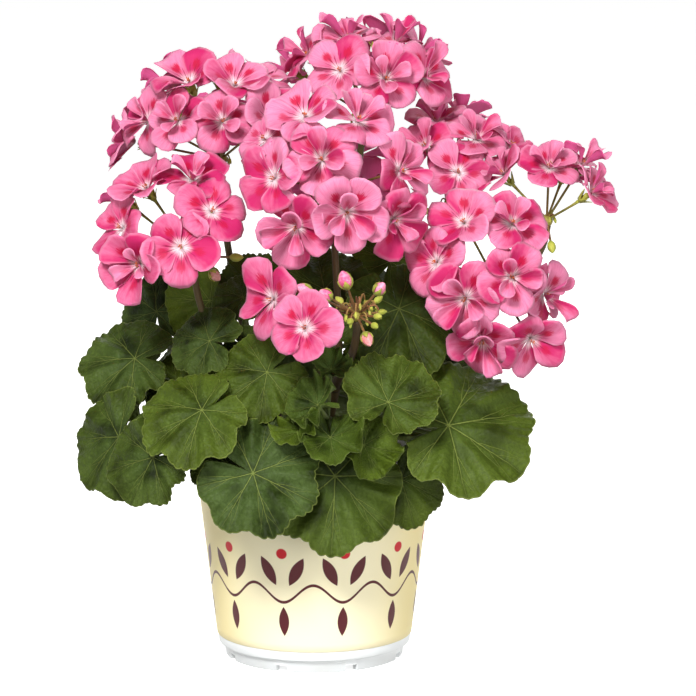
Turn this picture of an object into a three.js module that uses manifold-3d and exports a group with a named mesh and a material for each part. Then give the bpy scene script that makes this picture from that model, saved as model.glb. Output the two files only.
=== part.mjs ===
// A zonal geranium with pink flower heads in a round plastic grow pot.
// Millimetres, +Z up. The origin is the centre of the pot's resting plane and -Y is the front.

import * as THREE from 'three';
import { mergeVertices } from 'three/addons/utils/BufferGeometryUtils.js';
import Module from 'manifold-3d';

const wasm = await Module();
wasm.setup();

// Driving dimensions.

const POT_HEIGHT = 112;
const POT_RIM_RADIUS = 67;
const POT_SIDES = 26;
const FOOT_COUNT = 8;
const FOOT_NOTCH_WIDTH = 6.5;
const DRAIN_COUNT = 6;
const DRAIN_RADIUS = 3.4;
const DRAIN_CIRCLE = 33;

const SOIL_LEVEL = 96;
const CROWN_RADIUS = 9;
const CROWN_FOOT = 80;
const CROWN_TOP = 100;
const CLEARANCE = 0.35;
const JOIN_TOLERANCE = 0.1;
const PETAL_TOLERANCE = 0.15;

const BLADE_SWELL = 1.3;

const LEAF_THICKNESS = 0.9;
const LEAF_SINUS = 0.12;
const LEAF_SLIT = 14;
const LOBE_PITCH = 47;
const LOBE_DEPTH = 0.09;
const LEAF_PLEAT = 0.05;
const LEAF_RING_SHARE = 0.56;

const PETALS = 5;
const FLORET_RADIUS = 20.6;
const FLORET_NOTCH = 0.72;
const FLORET_THICKNESS = 0.95;
const PEDICEL_RADIUS = 0.75;
const CALYX_RADIUS = 1.9;
const CALYX_LENGTH = 8;
const PEDUNCLE_RADIUS = 2.1;
const PETIOLE_RADIUS = 1.35;
const SHOOT_RADIUS = 4.2;
const SHOOT_TIP_RADIUS = 2.8;
const RECEPTACLE_RADIUS = 3.4;

// How far an icosahedron of radius 1 reaches down from its centre.
const ICOSAHEDRON_REACH = 0.851;

// Small helpers.

const rad = (degrees) => degrees * Math.PI / 180;
const vec = (p) => new THREE.Vector3(p[0], p[1], p[2]);
const mix = (a, b, t) => a + (b - a) * t;

// A repeatable number from 0 to 1 for the counters i and k.
function chance(i, k) {
  const s = Math.sin(i * 12.9898 + k * 78.233) * 43758.5453;
  return s - Math.floor(s);
}

// The unit vector that looks from the plant to the side given by an azimuth and an elevation.
// Azimuth 0 is the front, and 90 is +X.
function toward(azimuth, elevation) {
  const a = rad(azimuth);
  const e = rad(elevation);
  return new THREE.Vector3(Math.sin(a) * Math.cos(e), -Math.cos(a) * Math.cos(e), Math.sin(e));
}

// A frame whose z axis is the facing direction. Its x axis lies in the plane across it, turned by
// spin from the steepest way down: spin 0 points down, 90 to the right as seen from the outside.
function facingFrame(facing, spin) {
  const z = facing.clone().normalize();
  const down = new THREE.Vector3(0, 0, -1).addScaledVector(z, z.z).normalize();
  const side = new THREE.Vector3().crossVectors(z, down);
  const x = down.multiplyScalar(Math.cos(rad(spin))).addScaledVector(side, Math.sin(rad(spin)));
  const y = new THREE.Vector3().crossVectors(z, x);
  return new THREE.Matrix4().makeBasis(x, y, z);
}

function solidOf(geometry) {
  const bare = geometry.clone();
  bare.deleteAttribute('normal');
  bare.deleteAttribute('uv');
  const merged = mergeVertices(bare, 1e-4);
  const mesh = new wasm.Mesh({
    numProp: 3,
    vertProperties: new Float32Array(merged.attributes.position.array),
    triVerts: new Uint32Array(merged.index.array),
  });
  return new wasm.Manifold(mesh);
}

function geometryOf(solid) {
  const mesh = solid.getMesh();
  const geometry = new THREE.BufferGeometry();
  geometry.setAttribute('position', new THREE.BufferAttribute(new Float32Array(mesh.vertProperties), 3));
  geometry.setIndex(new THREE.BufferAttribute(new Uint32Array(mesh.triVerts), 1));
  geometry.computeVertexNormals();
  return geometry;
}

function indexed(points, triangles) {
  const geometry = new THREE.BufferGeometry();
  const flat = points.flatMap((p) => [p.x, p.y, p.z]);
  geometry.setAttribute('position', new THREE.BufferAttribute(new Float32Array(flat), 3));
  geometry.setIndex(triangles.flat());
  geometry.computeVertexNormals();
  return geometry;
}

// One body from many that cross, without the slivers that the joins leave.
function union(solids, tolerance = JOIN_TOLERANCE) {
  return solids.reduce((sum, next) => sum.add(next)).asOriginal().simplify(tolerance);
}

// Triangles between two rings of points, both counter-clockwise, given as lists of { id, angle }.
// Each step moves on along the ring whose next point comes first.
function stitch(inner, outer) {
  const triangles = [];
  const full = 2 * Math.PI;
  let i = 0;
  let k = 0;
  const turn = (ring, n) => ring[n % ring.length].angle + full * Math.floor(n / ring.length);
  while (i < inner.length || k < outer.length) {
    const a = inner[i % inner.length].id;
    const b = outer[k % outer.length].id;
    if (k < outer.length && (i >= inner.length || turn(outer, k + 1) <= turn(inner, i + 1))) {
      triangles.push([a, b, outer[(k + 1) % outer.length].id]);
      k += 1;
    } else {
      triangles.push([a, b, inner[(i + 1) % inner.length].id]);
      i += 1;
    }
  }
  return triangles;
}

// A thin blade around its own z axis: a middle point, one ring that may be empty, and the rim, with
// both faces split alike. The faces stand half the thickness above and below the surface on the ring,
// a little more in the middle, and meet in the rim.
function blade(surface, ringAngles, ringShare, rimAngles, thickness) {
  const points = [];
  const half = thickness / 2;
  const ring = ringAngles.map((angle) => ({ angle, at: surface(angle, ringShare) }));
  const edge = rimAngles.map((angle) => ({ angle, at: surface(angle, 1) }));
  const middle = surface(0, 0);
  const put = (p, dz) => points.push(new THREE.Vector3(p.x, p.y, p.z + dz)) - 1;
  const top = put(middle, half * BLADE_SWELL);
  const bottom = put(middle, -half * BLADE_SWELL);
  const upper = ring.map((r) => ({ angle: r.angle, id: put(r.at, half) }));
  const lower = ring.map((r) => ({ angle: r.angle, id: put(r.at, -half) }));
  const outer = edge.map((r) => ({ angle: r.angle, id: put(r.at, 0) }));
  const fan = (centre, list) => list.map((p, i) => [centre, p.id, list[(i + 1) % list.length].id]);
  const faces = ring.length > 0 ? [...fan(top, upper), ...stitch(upper, outer)] : fan(top, outer);
  const backs = ring.length > 0 ? [...fan(bottom, lower), ...stitch(lower, outer)] : fan(bottom, outer);
  return { points, triangles: [...faces, ...backs.map(([a, b, c]) => [a, c, b])] };
}

// A tapering tube along a list of stations { at, r }, closed at both ends.
function tube(stations, sides) {
  const path = new THREE.CatmullRomCurve3(stations.map((s) => s.at));
  const last = stations.length - 1;
  const points = [];
  const triangles = [];
  let across = new THREE.Vector3(0.31, 0.87, 0.38);
  stations.forEach((station, n) => {
    const along = path.getTangent(n / last);
    across = across.clone().addScaledVector(along, -across.dot(along)).normalize();
    const other = new THREE.Vector3().crossVectors(along, across);
    for (let i = 0; i < sides; i += 1) {
      const a = 2 * Math.PI * i / sides;
      const p = station.at.clone();
      p.addScaledVector(across, Math.cos(a) * station.r);
      p.addScaledVector(other, Math.sin(a) * station.r);
      points.push(p);
    }
  });
  for (let n = 0; n < last; n += 1) {
    for (let i = 0; i < sides; i += 1) {
      const j = (i + 1) % sides;
      const a = n * sides + i;
      const b = n * sides + j;
      triangles.push([a, b, b + sides], [a, b + sides, a + sides]);
    }
  }
  for (let i = 1; i < sides - 1; i += 1) {
    triangles.push([0, i + 1, i]);
    triangles.push([last * sides, last * sides + i, last * sides + i + 1]);
  }
  return solidOf(indexed(points, triangles));
}

// Stations along a cubic Bezier path, with the radius running from r0 to r1.
function bezierStations(p0, p1, p2, p3, count, r0, r1) {
  const curve = new THREE.CubicBezierCurve3(p0, p1, p2, p3);
  const stations = [];
  for (let n = 0; n <= count; n += 1) {
    const t = n / count;
    stations.push({ at: curve.getPoint(t), r: mix(r0, r1, t) });
  }
  return stations;
}

// The pot: a tapered plastic cup with a thick rolled rim, standing on a castellated foot ring and
// on one flat pad in the middle of its floor.

function makePot() {
  const outside = [
    [0, 0], [14, 0], [15.5, 4.6], [44.5, 4.6], [45, 0], [49.5, 0], [50.4, 7], [53.3, 7.6], [54.1, 13.2],
    [65.2, 104.5], [66.6, 105.2], [POT_RIM_RADIUS, POT_HEIGHT - 0.8], [66.2, POT_HEIGHT],
  ];
  const inside = [
    [64.6, POT_HEIGHT - 0.6], [63.4, 104], [51.8, 8.4], [49.6, 6.4], [15.2, 6.4], [13.4, 1.8], [0, 1.8],
  ];
  const profile = [...outside, ...inside].map(([r, z]) => new THREE.Vector2(r, z));
  const turned = new THREE.LatheGeometry(profile, POT_SIDES);
  turned.rotateX(Math.PI / 2);
  let pot = solidOf(turned);
  if (pot.volume() < 0) {
    throw new Error('the pot profile runs the wrong way');
  }
  for (let n = 0; n < FOOT_COUNT; n += 1) {
    const notch = new THREE.BoxGeometry(10, FOOT_NOTCH_WIDTH, 7.2);
    notch.translate(47.6, 0, 0);
    notch.rotateZ(rad(360 * (n + 0.5) / FOOT_COUNT + 2));
    pot = pot.subtract(solidOf(notch));
  }
  for (let n = 0; n < DRAIN_COUNT; n += 1) {
    const drain = new THREE.CylinderGeometry(DRAIN_RADIUS, DRAIN_RADIUS, 10, 8);
    drain.rotateX(Math.PI / 2);
    drain.translate(DRAIN_CIRCLE, 0, 6);
    drain.rotateZ(rad(360 * n / DRAIN_COUNT));
    pot = pot.subtract(solidOf(drain));
  }
  return geometryOf(pot);
}

// The soil: a plug that follows the inside of the pot, with a lumpy top and a plain hole that the
// woody crown stands in.

function makeSoil() {
  const profile = [
    [0, 6.8], [49.1, 6.8], [51.3, 8.8], [61.5, SOIL_LEVEL - 3.4], [48, SOIL_LEVEL - 0.7],
    [30, SOIL_LEVEL + 0.6], [15, SOIL_LEVEL - 0.6], [0, SOIL_LEVEL - 1],
  ];
  const points = profile.map(([r, z]) => new THREE.Vector2(r, z));
  const turned = new THREE.LatheGeometry(points, POT_SIDES);
  turned.rotateX(Math.PI / 2);
  const merged = mergeVertices(stripped(turned), 1e-4);
  const position = merged.attributes.position;
  for (let n = 0; n < position.count; n += 1) {
    const r = Math.hypot(position.getX(n), position.getY(n));
    if (position.getZ(n) > SOIL_LEVEL - 2 && r > 20 && r < 58) {
      position.setZ(n, position.getZ(n) + 3.4 * (chance(n, 3) - 0.5));
    }
  }
  const hole = new THREE.CylinderGeometry(CROWN_RADIUS + CLEARANCE, CROWN_RADIUS + CLEARANCE, 40, 10);
  hole.rotateX(Math.PI / 2);
  hole.translate(0, 0, CROWN_FOOT - CLEARANCE + 20);
  return geometryOf(solidOf(merged).subtract(solidOf(hole)));
}

function stripped(geometry) {
  const bare = geometry.clone();
  bare.deleteAttribute('normal');
  bare.deleteAttribute('uv');
  return bare;
}

// Leaves.

// Share of the tip radius that the outline has in the direction a, in radians from the tip.
// The leaf is round with seven shallow lobes and a narrow slit at its heel.
function leafOutline(a, heel) {
  const t = Math.abs(a) / Math.PI;
  const body = 1 - (1 - heel) * Math.min(1, t / 0.9) ** 1.7;
  const lobes = 1 - LOBE_DEPTH * (1 - Math.cos(a * 360 / LOBE_PITCH)) / 2;
  const slit = THREE.MathUtils.smoothstep(Math.PI - Math.abs(a), 0, rad(LEAF_SLIT));
  return body * lobes * mix(LEAF_SINUS / heel, 1, slit);
}

// Height of the blade over the plane of its junction, as a share of the tip radius.
// cup lifts the rim, fold lifts both halves into a V, droop bends the tip, wave ruffles the rim.
function leafHeight(a, share, leaf) {
  const x = share * Math.cos(a);
  const y = share * Math.sin(a);
  const bowl = leaf.cup * share ** 2;
  const fold = leaf.fold * (Math.sqrt(y * y + 0.02) - 0.141);
  const droop = leaf.droop * Math.max(0, x) ** 2;
  const pleat = LEAF_PLEAT * share ** 1.5 * (1 - Math.cos(a * 360 / LOBE_PITCH)) / 2;
  const phase = 6.28 * chance(leaf.seed, 1);
  const wave = leaf.wave * share ** 2 * (Math.sin(3 * a + phase) + 0.6 * Math.sin(5 * a + 2.3 * phase));
  const twist = 0.1 * (chance(leaf.seed, 2) - 0.5) * share ** 2 * Math.sin(2 * a);
  return bowl + fold + droop + pleat + wave + twist;
}

function leafRimAngles() {
  const angles = [-180, -171, -161];
  for (let lobe = -3; lobe <= 3; lobe += 1) {
    angles.push(lobe * LOBE_PITCH - 13, lobe * LOBE_PITCH + 13);
    if (lobe < 3) {
      angles.push((lobe + 0.5) * LOBE_PITCH);
    }
  }
  angles.push(161, 171);
  return angles.sort((p, q) => p - q).map(rad);
}

function leafRingAngles() {
  const angles = [-180];
  for (let lobe = -3; lobe <= 3; lobe += 1) {
    angles.push(lobe * LOBE_PITCH);
  }
  return angles.map(rad);
}

function leafBlade(leaf) {
  const surface = (a, u) => {
    const share = u * leafOutline(a, leaf.heel);
    const r = share * leaf.radius;
    const z = leafHeight(a, share, leaf) * leaf.radius;
    return new THREE.Vector3(r * Math.cos(a), r * Math.sin(a), z);
  };
  const shape = blade(surface, leafRingAngles(), LEAF_RING_SHARE, leafRimAngles(), LEAF_THICKNESS);
  const frame = facingFrame(toward(leaf.azimuth, leaf.elevation), leaf.spin);
  frame.setPosition(vec(leaf.at));
  return indexed(shape.points.map((p) => p.applyMatrix4(frame)), shape.triangles);
}

// Shoots of the plant: the points that each runs through, from the crown up.

const SHOOTS = [
  [[-4, -3, 98], [-13, -11, 118], [-29, -23, 146], [-45, -35, 170]],
  [[-4, 2, 98], [-17, 8, 122], [-32, 12, 155], [-40, 12, 188]],
  [[1, -5, 98], [4, -17, 116], [8, -32, 138], [12, -46, 158]],
  [[4, -2, 98], [17, -8, 118], [33, -15, 142], [46, -20, 160]],
  [[4, 3, 98], [18, 11, 122], [38, 20, 150], [52, 24, 176]],
  [[0, 5, 98], [1, 19, 122], [3, 36, 156], [5, 46, 188]],
];

// The leaves: where the stalk meets the blade, tip radius, facing azimuth and elevation, spin of the
// tip, heel, cup, fold, droop, wave, and the shoot and share of its length that the stalk leaves from.
const LEAF_ROWS = [
  { at: [-58, -92, 153], radius: 36, azimuth: -20, elevation: 44, spin: -50, heel: 0.62,
    cup: -0.1, fold: -0.1, droop: -0.05, wave: 0.03, shoot: 0, from: 0.45 },
  { at: [-31, -101, 121], radius: 37, azimuth: -2, elevation: 24, spin: 65, heel: 0.78,
    cup: -0.06, fold: -0.06, droop: -0.06, wave: 0.03, shoot: 0, from: 0.22 },
  { at: [12, -89, 117], radius: 43, azimuth: 5, elevation: 16, spin: -4, heel: 0.6,
    cup: -0.05, fold: -0.16, droop: -0.05, wave: 0.03, shoot: 2, from: 0.24 },
  { at: [-24, -79, 171], radius: 29, azimuth: -2, elevation: 32, spin: -55, heel: 0.72,
    cup: -0.14, fold: -0.1, droop: -0.06, wave: 0.04, shoot: 2, from: 0.72 },
  { at: [-55, -61, 185], radius: 25, azimuth: -26, elevation: 34, spin: -100, heel: 0.66,
    cup: -0.12, fold: -0.12, droop: -0.06, wave: 0.03, shoot: 0, from: 0.8 },
  { at: [-57, -12, 200], radius: 28, azimuth: -34, elevation: 18, spin: -40, heel: 0.6,
    cup: 0.06, fold: 0.2, droop: -0.05, wave: 0.03, shoot: 1, from: 0.8 },
  { at: [-87, 1, 192], radius: 25, azimuth: -14, elevation: 24, spin: -170, heel: 0.66,
    cup: -0.1, fold: -0.3, droop: -0.1, wave: 0.04, shoot: 1, from: 0.62 },
  { at: [-97, -32, 171], radius: 34, azimuth: -18, elevation: 44, spin: -86, heel: 0.62,
    cup: -0.12, fold: -0.1, droop: -0.08, wave: 0.03, shoot: 1, from: 0.45 },
  { at: [-103.5, -66, 134], radius: 35, azimuth: -40, elevation: 20, spin: -35, heel: 0.75,
    cup: -0.08, fold: -0.08, droop: -0.06, wave: 0.03, shoot: 1, from: 0.25 },
  { at: [-84, -88, 127], radius: 30, azimuth: -24, elevation: 22, spin: -72, heel: 0.6,
    cup: -0.1, fold: -0.12, droop: -0.1, wave: 0.04, shoot: 0, from: 0.32 },
  { at: [-46, -76, 122], radius: 22, azimuth: -14, elevation: 34, spin: -20, heel: 0.66,
    cup: -0.1, fold: 0.1, droop: -0.1, wave: 0.05, shoot: 0, from: 0.12 },
  { at: [40, -97, 158], radius: 30, azimuth: 10, elevation: 42, spin: 150, heel: 0.7,
    cup: 0.1, fold: 0.06, droop: -0.06, wave: 0.05, shoot: 3, from: 0.62 },
  { at: [72, -82, 143], radius: 49, azimuth: 12, elevation: 40, spin: 100, heel: 0.64,
    cup: -0.06, fold: -0.1, droop: -0.06, wave: 0.03, shoot: 3, from: 0.45 },
  { at: [47, -76, 113], radius: 28, azimuth: 16, elevation: 12, spin: 15, heel: 0.66,
    cup: -0.06, fold: -0.1, droop: -0.08, wave: 0.04, shoot: 3, from: 0.3 },
  { at: [90, -46, 132], radius: 28, azimuth: 36, elevation: 20, spin: 50, heel: 0.66,
    cup: -0.1, fold: -0.1, droop: -0.1, wave: 0.04, shoot: 4, from: 0.2 },
  { at: [46, -58, 202], radius: 40, azimuth: 8, elevation: 30, spin: 20, heel: 0.66,
    cup: -0.08, fold: -0.1, droop: -0.06, wave: 0.03, shoot: 3, from: 0.9 },
  { at: [70, -52.5, 166.5], radius: 26, azimuth: 26, elevation: 30, spin: 60, heel: 0.66,
    cup: -0.08, fold: -0.1, droop: -0.08, wave: 0.04, shoot: 3, from: 0.75 },
  { at: [6, -32, 209], radius: 30, azimuth: -8, elevation: 44, spin: -165, heel: 0.66,
    cup: -0.06, fold: 0.06, droop: -0.06, wave: 0.04, shoot: 2, from: 0.92 },
  { at: [-33, -14, 208], radius: 22, azimuth: -10, elevation: 38, spin: 170, heel: 0.66,
    cup: 0.04, fold: 0.1, droop: -0.04, wave: 0.05, shoot: 1, from: 0.95 },
  { at: [-38, -34, 205], radius: 20, azimuth: -22, elevation: 48, spin: -60, heel: 0.66,
    cup: -0.06, fold: -0.06, droop: -0.06, wave: 0.05, shoot: 0, from: 0.92 },
  { at: [-98, -8, 154], radius: 28, azimuth: -70, elevation: 28, spin: -50, heel: 0.66,
    cup: -0.1, fold: -0.1, droop: -0.1, wave: 0.04, shoot: 1, from: 0.35 },
];

// The back of the plant carries a lower and an upper tier of leaves and two at the top. Every other
// leaf of a tier stands further out, so that neighbours overlap without crossing.
const BACK_TIERS = [
  { azimuths: [88, 118, 150, 184, 220, 256], height: 130, out: 78, radius: 37, elevation: 26, from: 0.3 },
  { azimuths: [106, 146, 190, 238], height: 164, out: 76, radius: 33, elevation: 34, from: 0.62 },
  { azimuths: [134, 200, 229], height: 206, out: 50, radius: 28, elevation: 46, from: 0.88 },
];
const BACK_STAGGER = 11;

// Leaves deep in the plant, which close the view between those of the front.
const INNER_ROWS = [
  { at: [-74, -28, 155], radius: 28, azimuth: -22, elevation: 26, spin: 60, shoot: 1, from: 0.5 },
  { at: [42, -14, 222], radius: 27, azimuth: 4, elevation: 26, spin: 150, shoot: 3, from: 0.97 },
  { at: [30, -50, 178], radius: 20, azimuth: 0, elevation: 24, spin: 60, shoot: 3, from: 0.7 },
  { at: [-37, -54, 182], radius: 17, azimuth: -2, elevation: 42, spin: 60, shoot: 1, from: 0.62 },
];
const INNER_LEAVES = INNER_ROWS.map((leaf) => {
  return { heel: 0.66, cup: -0.06, fold: -0.08, droop: -0.06, wave: 0.03, ...leaf };
});

function backLeaves() {
  const rows = [];
  for (const tier of BACK_TIERS) {
    tier.azimuths.forEach((azimuth, k) => {
      const n = 24 + rows.length;
      const out = toward(azimuth, 0).multiplyScalar(tier.out + BACK_STAGGER * (k % 2));
      rows.push({
        at: [out.x, out.y + 4, tier.height + 8 * (chance(n, 5) - 0.5)],
        radius: tier.radius * (0.92 + 0.16 * chance(n, 6)),
        azimuth: azimuth + 10 * (chance(n, 7) - 0.5),
        elevation: tier.elevation + 10 * (chance(n, 8) - 0.5),
        spin: 60 * (chance(n, 9) - 0.5),
        heel: 0.64,
        cup: -0.1,
        fold: -0.1,
        droop: -0.08,
        wave: 0.03,
        shoot: nearestShoot(azimuth),
        from: tier.from + 0.1 * (k % 3),
      });
    });
  }
  return rows;
}

// The shoot whose top lies most nearly in the direction of an azimuth.
function nearestShoot(azimuth) {
  const way = toward(azimuth, 0);
  const lean = SHOOTS.map((points) => vec(points[3]).setZ(0).normalize().dot(way));
  return lean.indexOf(Math.max(...lean));
}

const LEAVES = [...LEAF_ROWS, ...backLeaves(), ...INNER_LEAVES].map((leaf, n) => {
  const number = String(n + 1).padStart(2, '0');
  return { ...leaf, name: `leaf_${number}`, seed: n + 1 };
});

// The young shoot in the middle of the front: a short stem and five small crinkled leaves.
const YOUNG_STEM = [[9, -43.5, 139], [8, -60, 142], [8, -82, 147]];
const YOUNG_ROWS = [
  { at: [9.6, -104, 140.6], radius: 20, azimuth: 0, elevation: 42, spin: 8, cup: 0.3, fold: 0.3, wave: 0.16 },
  { at: [3, -99, 157], radius: 18, azimuth: -30, elevation: 44, spin: -60, cup: 0.2, fold: 0.3, wave: 0.18 },
  { at: [27, -96, 135], radius: 20, azimuth: 18, elevation: 22, spin: 20, cup: 0.1, fold: 0.5, wave: 0.16 },
  { at: [-5, -98.5, 144.5], radius: 17, azimuth: -34, elevation: 50, spin: -75, cup: 0.2, fold: 0.2, wave: 0.16 },
  { at: [10, -88, 174], radius: 12, azimuth: 8, elevation: 46, spin: 170, cup: 0.3, fold: 0.3, wave: 0.16 },
];
const YOUNG_LEAVES = YOUNG_ROWS.map((leaf, n) => ({ heel: 0.7, droop: -0.05, seed: 60 + n, ...leaf }));

function youngShoot() {
  const stem = YOUNG_STEM.map((p, n) => ({ at: vec(p), r: mix(2.2, 1.6, n / 2) }));
  const solids = [tube(stem, 5)];
  for (const leaf of YOUNG_LEAVES) {
    const normal = toward(leaf.azimuth, leaf.elevation);
    const end = vec(leaf.at);
    const start = vec(YOUNG_STEM[2]).add(new THREE.Vector3(0, 2, -0.3));
    const knee = end.clone().addScaledVector(normal, -7);
    solids.push(tube([{ at: start, r: 1.3 }, { at: knee, r: 1.1 }, { at: end, r: 1 }], 4));
    solids.push(solidOf(leafBlade(leaf)));
  }
  return geometryOf(union(solids));
}

// Flower heads.

// Each head is a dome of florets at one distance from its receptacle. Florets seen from the front
// are listed by [azimuth, elevation] of their place on the dome, which a facing azimuth and elevation
// and a share of the reach may follow. The rest of the dome is filled by rule, down to the elevation
// low and from the azimuth behind round to the back. Buds are [azimuth, elevation, distance, length].
const HEADS = [
  {
    name: 'a', at: [-51, 8, 276], reach: 48, shoot: 1, low: 12, behind: 115, size: 1, seed: 11,
    florets: [
      [-64, 28, -52, 24], [-30, 30], [2, 30], [40, 30], [18, 60], [-42, 62], [104, 62], [-100, 8],
    ],
    buds: [[-80, -2, 34, 8]],
  },
  {
    name: 'b', at: [-64, -43, 228.4], reach: 46, shoot: 0, low: 14, behind: 142, size: 1, seed: 22,
    florets: [[-52, 26], [-36, 8], [-6, 16], [14, 36], [-54, 52], [-10, 66], [-100, 38]],
    buds: [[40, -25, 16, 9], [64, 2, 22, 8]],
  },
  {
    name: 'c', at: [11, -52, 265], reach: 48, shoot: 2, low: 16, behind: 110, size: 1.05, seed: 13,
    florets: [
      [-40, 12], [-24, -18], [-66, 38], [14, 30], [10, -7], [43, -14], [48, 16], [-34, 56], [34, 52],
    ],
    buds: [],
  },
  {
    name: 'd', at: [27, 35, 299], reach: 46, shoot: 5, low: 14, behind: 0, size: 1, seed: 14,
    florets: [
      [-17, 34], [16, 28], [54, 28], [-30, 68, -30, 76, 0.95], [60, 62, 60, 74, 0.95],
      [-84, 46, -80, 36, 0.95], [106, 46], [-112, 30],
    ],
    buds: [],
  },
  {
    name: 'e', at: [76, 35, 249], reach: 46, shoot: 4, low: 58, behind: 0, size: 0.95, seed: 15,
    florets: [[1, 30], [30, 54], [-60, 74], [-24, 48, -28, 40], [76, 44]],
    buds: [[-30, -4, 26, 7], [0, -8, 28, 7], [30, -6, 27, 7]],
  },
  {
    name: 'f', at: [128, 0, 243], reach: 35, shoot: 4, low: 26, behind: 0, size: 0.93, seed: 16,
    florets: [[6, 60], [74, 54], [-76, 46], [150, 46], [50, 36, 70, 34]],
    buds: [[-10, -30, 10, 8], [10, -48, 14, 8], [-40, -14, 9, 6]],
  },
  {
    name: 'g', at: [96.8, -47, 217.6], reach: 49, shoot: 3, low: 26, behind: 90, size: 1.04, seed: 17,
    florets: [
      [-32, 13], [-20, -9], [12, 8], [-26, 38], [10, 42], [-6, -28], [24, -26], [32, -12, 50, -8, 0.88],
    ],
    buds: [],
  },
  {
    name: 'h', at: [23.5, -85, 202.4], reach: 38, shoot: 2, low: 90, behind: 0, size: 1.04, seed: 18,
    florets: [[-48, -3, -8, 18, 1], [-78, 11, -50, 12, 1.18]],
    buds: [
      [-60, 26, 30, 11], [-40, 28, 24, 10], [-26, 55, 19, 12], [34, 38, 22, 10], [20, -34, 14, 10],
      [-20, -10, 8, 6], [40, 4, 14, 6], [30, -10, 16, 6], [70, 10, 12, 5], [-60, -6, 9, 5], [120, 30, 12, 6],
      [-130, 30, 11, 6],
    ],
  },
  {
    name: 'i', at: [3, 81, 232], reach: 46, shoot: 5, low: 8, behind: 130, size: 1, seed: 21,
    florets: [],
    buds: [[180, -4, 26, 8]],
  },
];

const FLORET_CLOSEST = 25;
const FLORET_TOUCH = 27.5;
const FLORET_GAP = 34;
const HEAD_SPACING = 42;
const DOME_TRIALS = 900;

// Listed florets turn from the dome a little to the front.
const FRONT_LEAN = new THREE.Vector3(0, -0.16, 0.024);

// Moves the listed florets of a head along its dome until none crowds another and each touches one
// of those before it.
function settle(directions, reach) {
  const apart = (p, q) => p.distanceTo(q) * reach;
  const slide = (p, q, step) => p.addScaledVector(q.clone().sub(p).normalize(), step / reach).normalize();
  for (let pass = 0; pass < 40; pass += 1) {
    directions.forEach((p, n) => {
      for (const q of directions.filter((other) => other !== p)) {
        const short = FLORET_CLOSEST - apart(p, q);
        if (short > 0) {
          slide(p, q, -0.3 * short);
        }
      }
      const before = directions.slice(0, n);
      const nearest = Math.min(...before.map((q) => apart(p, q)));
      if (n > 0 && nearest > FLORET_TOUCH) {
        slide(p, before.find((q) => apart(p, q) === nearest), 0.5 * (nearest - FLORET_TOUCH));
      }
    });
  }
  return directions;
}

// The listed florets of every head first, and then the rest of each dome: points of a golden spiral
// are taken where they touch one floret of the head and are clear of all others.
function placeFlorets() {
  const placed = [];
  const put = (head, way, row = []) => {
    const [, , azimuth, elevation, share = 1] = row;
    const at = vec(head.at).addScaledVector(way, head.reach * share);
    const lean = way.clone().addScaledVector(FRONT_LEAN, row.length > 0 ? 1 : 0);
    const facing = azimuth === undefined ? lean.normalize() : toward(azimuth, elevation);
    placed.push({ head, way, at, facing, listed: row.length > 0 });
  };
  for (const head of HEADS) {
    const ways = settle(head.florets.map(([azimuth, elevation]) => toward(azimuth, elevation)), head.reach);
    ways.forEach((way, n) => put(head, way, head.florets[n]));
  }
  for (const head of HEADS) {
    for (let n = 0; n < DOME_TRIALS; n += 1) {
      const elevation = Math.asin(1 - n / DOME_TRIALS) * 180 / Math.PI;
      const way = toward((n * 137.5 + head.seed * 40) % 360, elevation);
      if (elevation < head.low) {
        break;
      }
      if (Math.abs(Math.atan2(way.x, -way.y)) < rad(head.behind)) {
        continue;
      }
      const at = vec(head.at).addScaledVector(way, head.reach);
      const near = (own) => placed.filter((other) => (other.head === head) === own)
        .map((other) => other.at.distanceTo(at)).sort((p, q) => p - q);
      const [first = FLORET_TOUCH, second = Infinity] = near(true);
      const touches = first > FLORET_TOUCH - 2.5 && first <= FLORET_TOUCH + 0.4 && second > FLORET_GAP;
      if (touches && near(false)[0] > HEAD_SPACING) {
        put(head, way);
      }
    }
  }
  return placed.map((floret, n) => ({ ...floret, seed: 100 + n, spin: spinToNeighbour(floret, placed) }));
}

// One petal points down, and the floret then turns by the least angle that brings one petal over
// the nearest of the florets before it. The first of a head turns to the nearest of all.
function spinToNeighbour(floret, placed) {
  const all = placed.filter((other) => other.head === floret.head);
  const before = all.slice(0, all.indexOf(floret));
  const others = before.length > 0 ? before : all.slice(1);
  const near = others.sort((p, q) => p.at.distanceTo(floret.at) - q.at.distanceTo(floret.at))[0];
  const frame = facingFrame(floret.facing, 0);
  const way = near.at.clone().sub(floret.at).transformDirection(frame.transpose());
  const angle = Math.atan2(way.y, way.x) * 180 / Math.PI;
  return angle - 72 * Math.round(angle / 72);
}

const FLORETS = placeFlorets();

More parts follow.
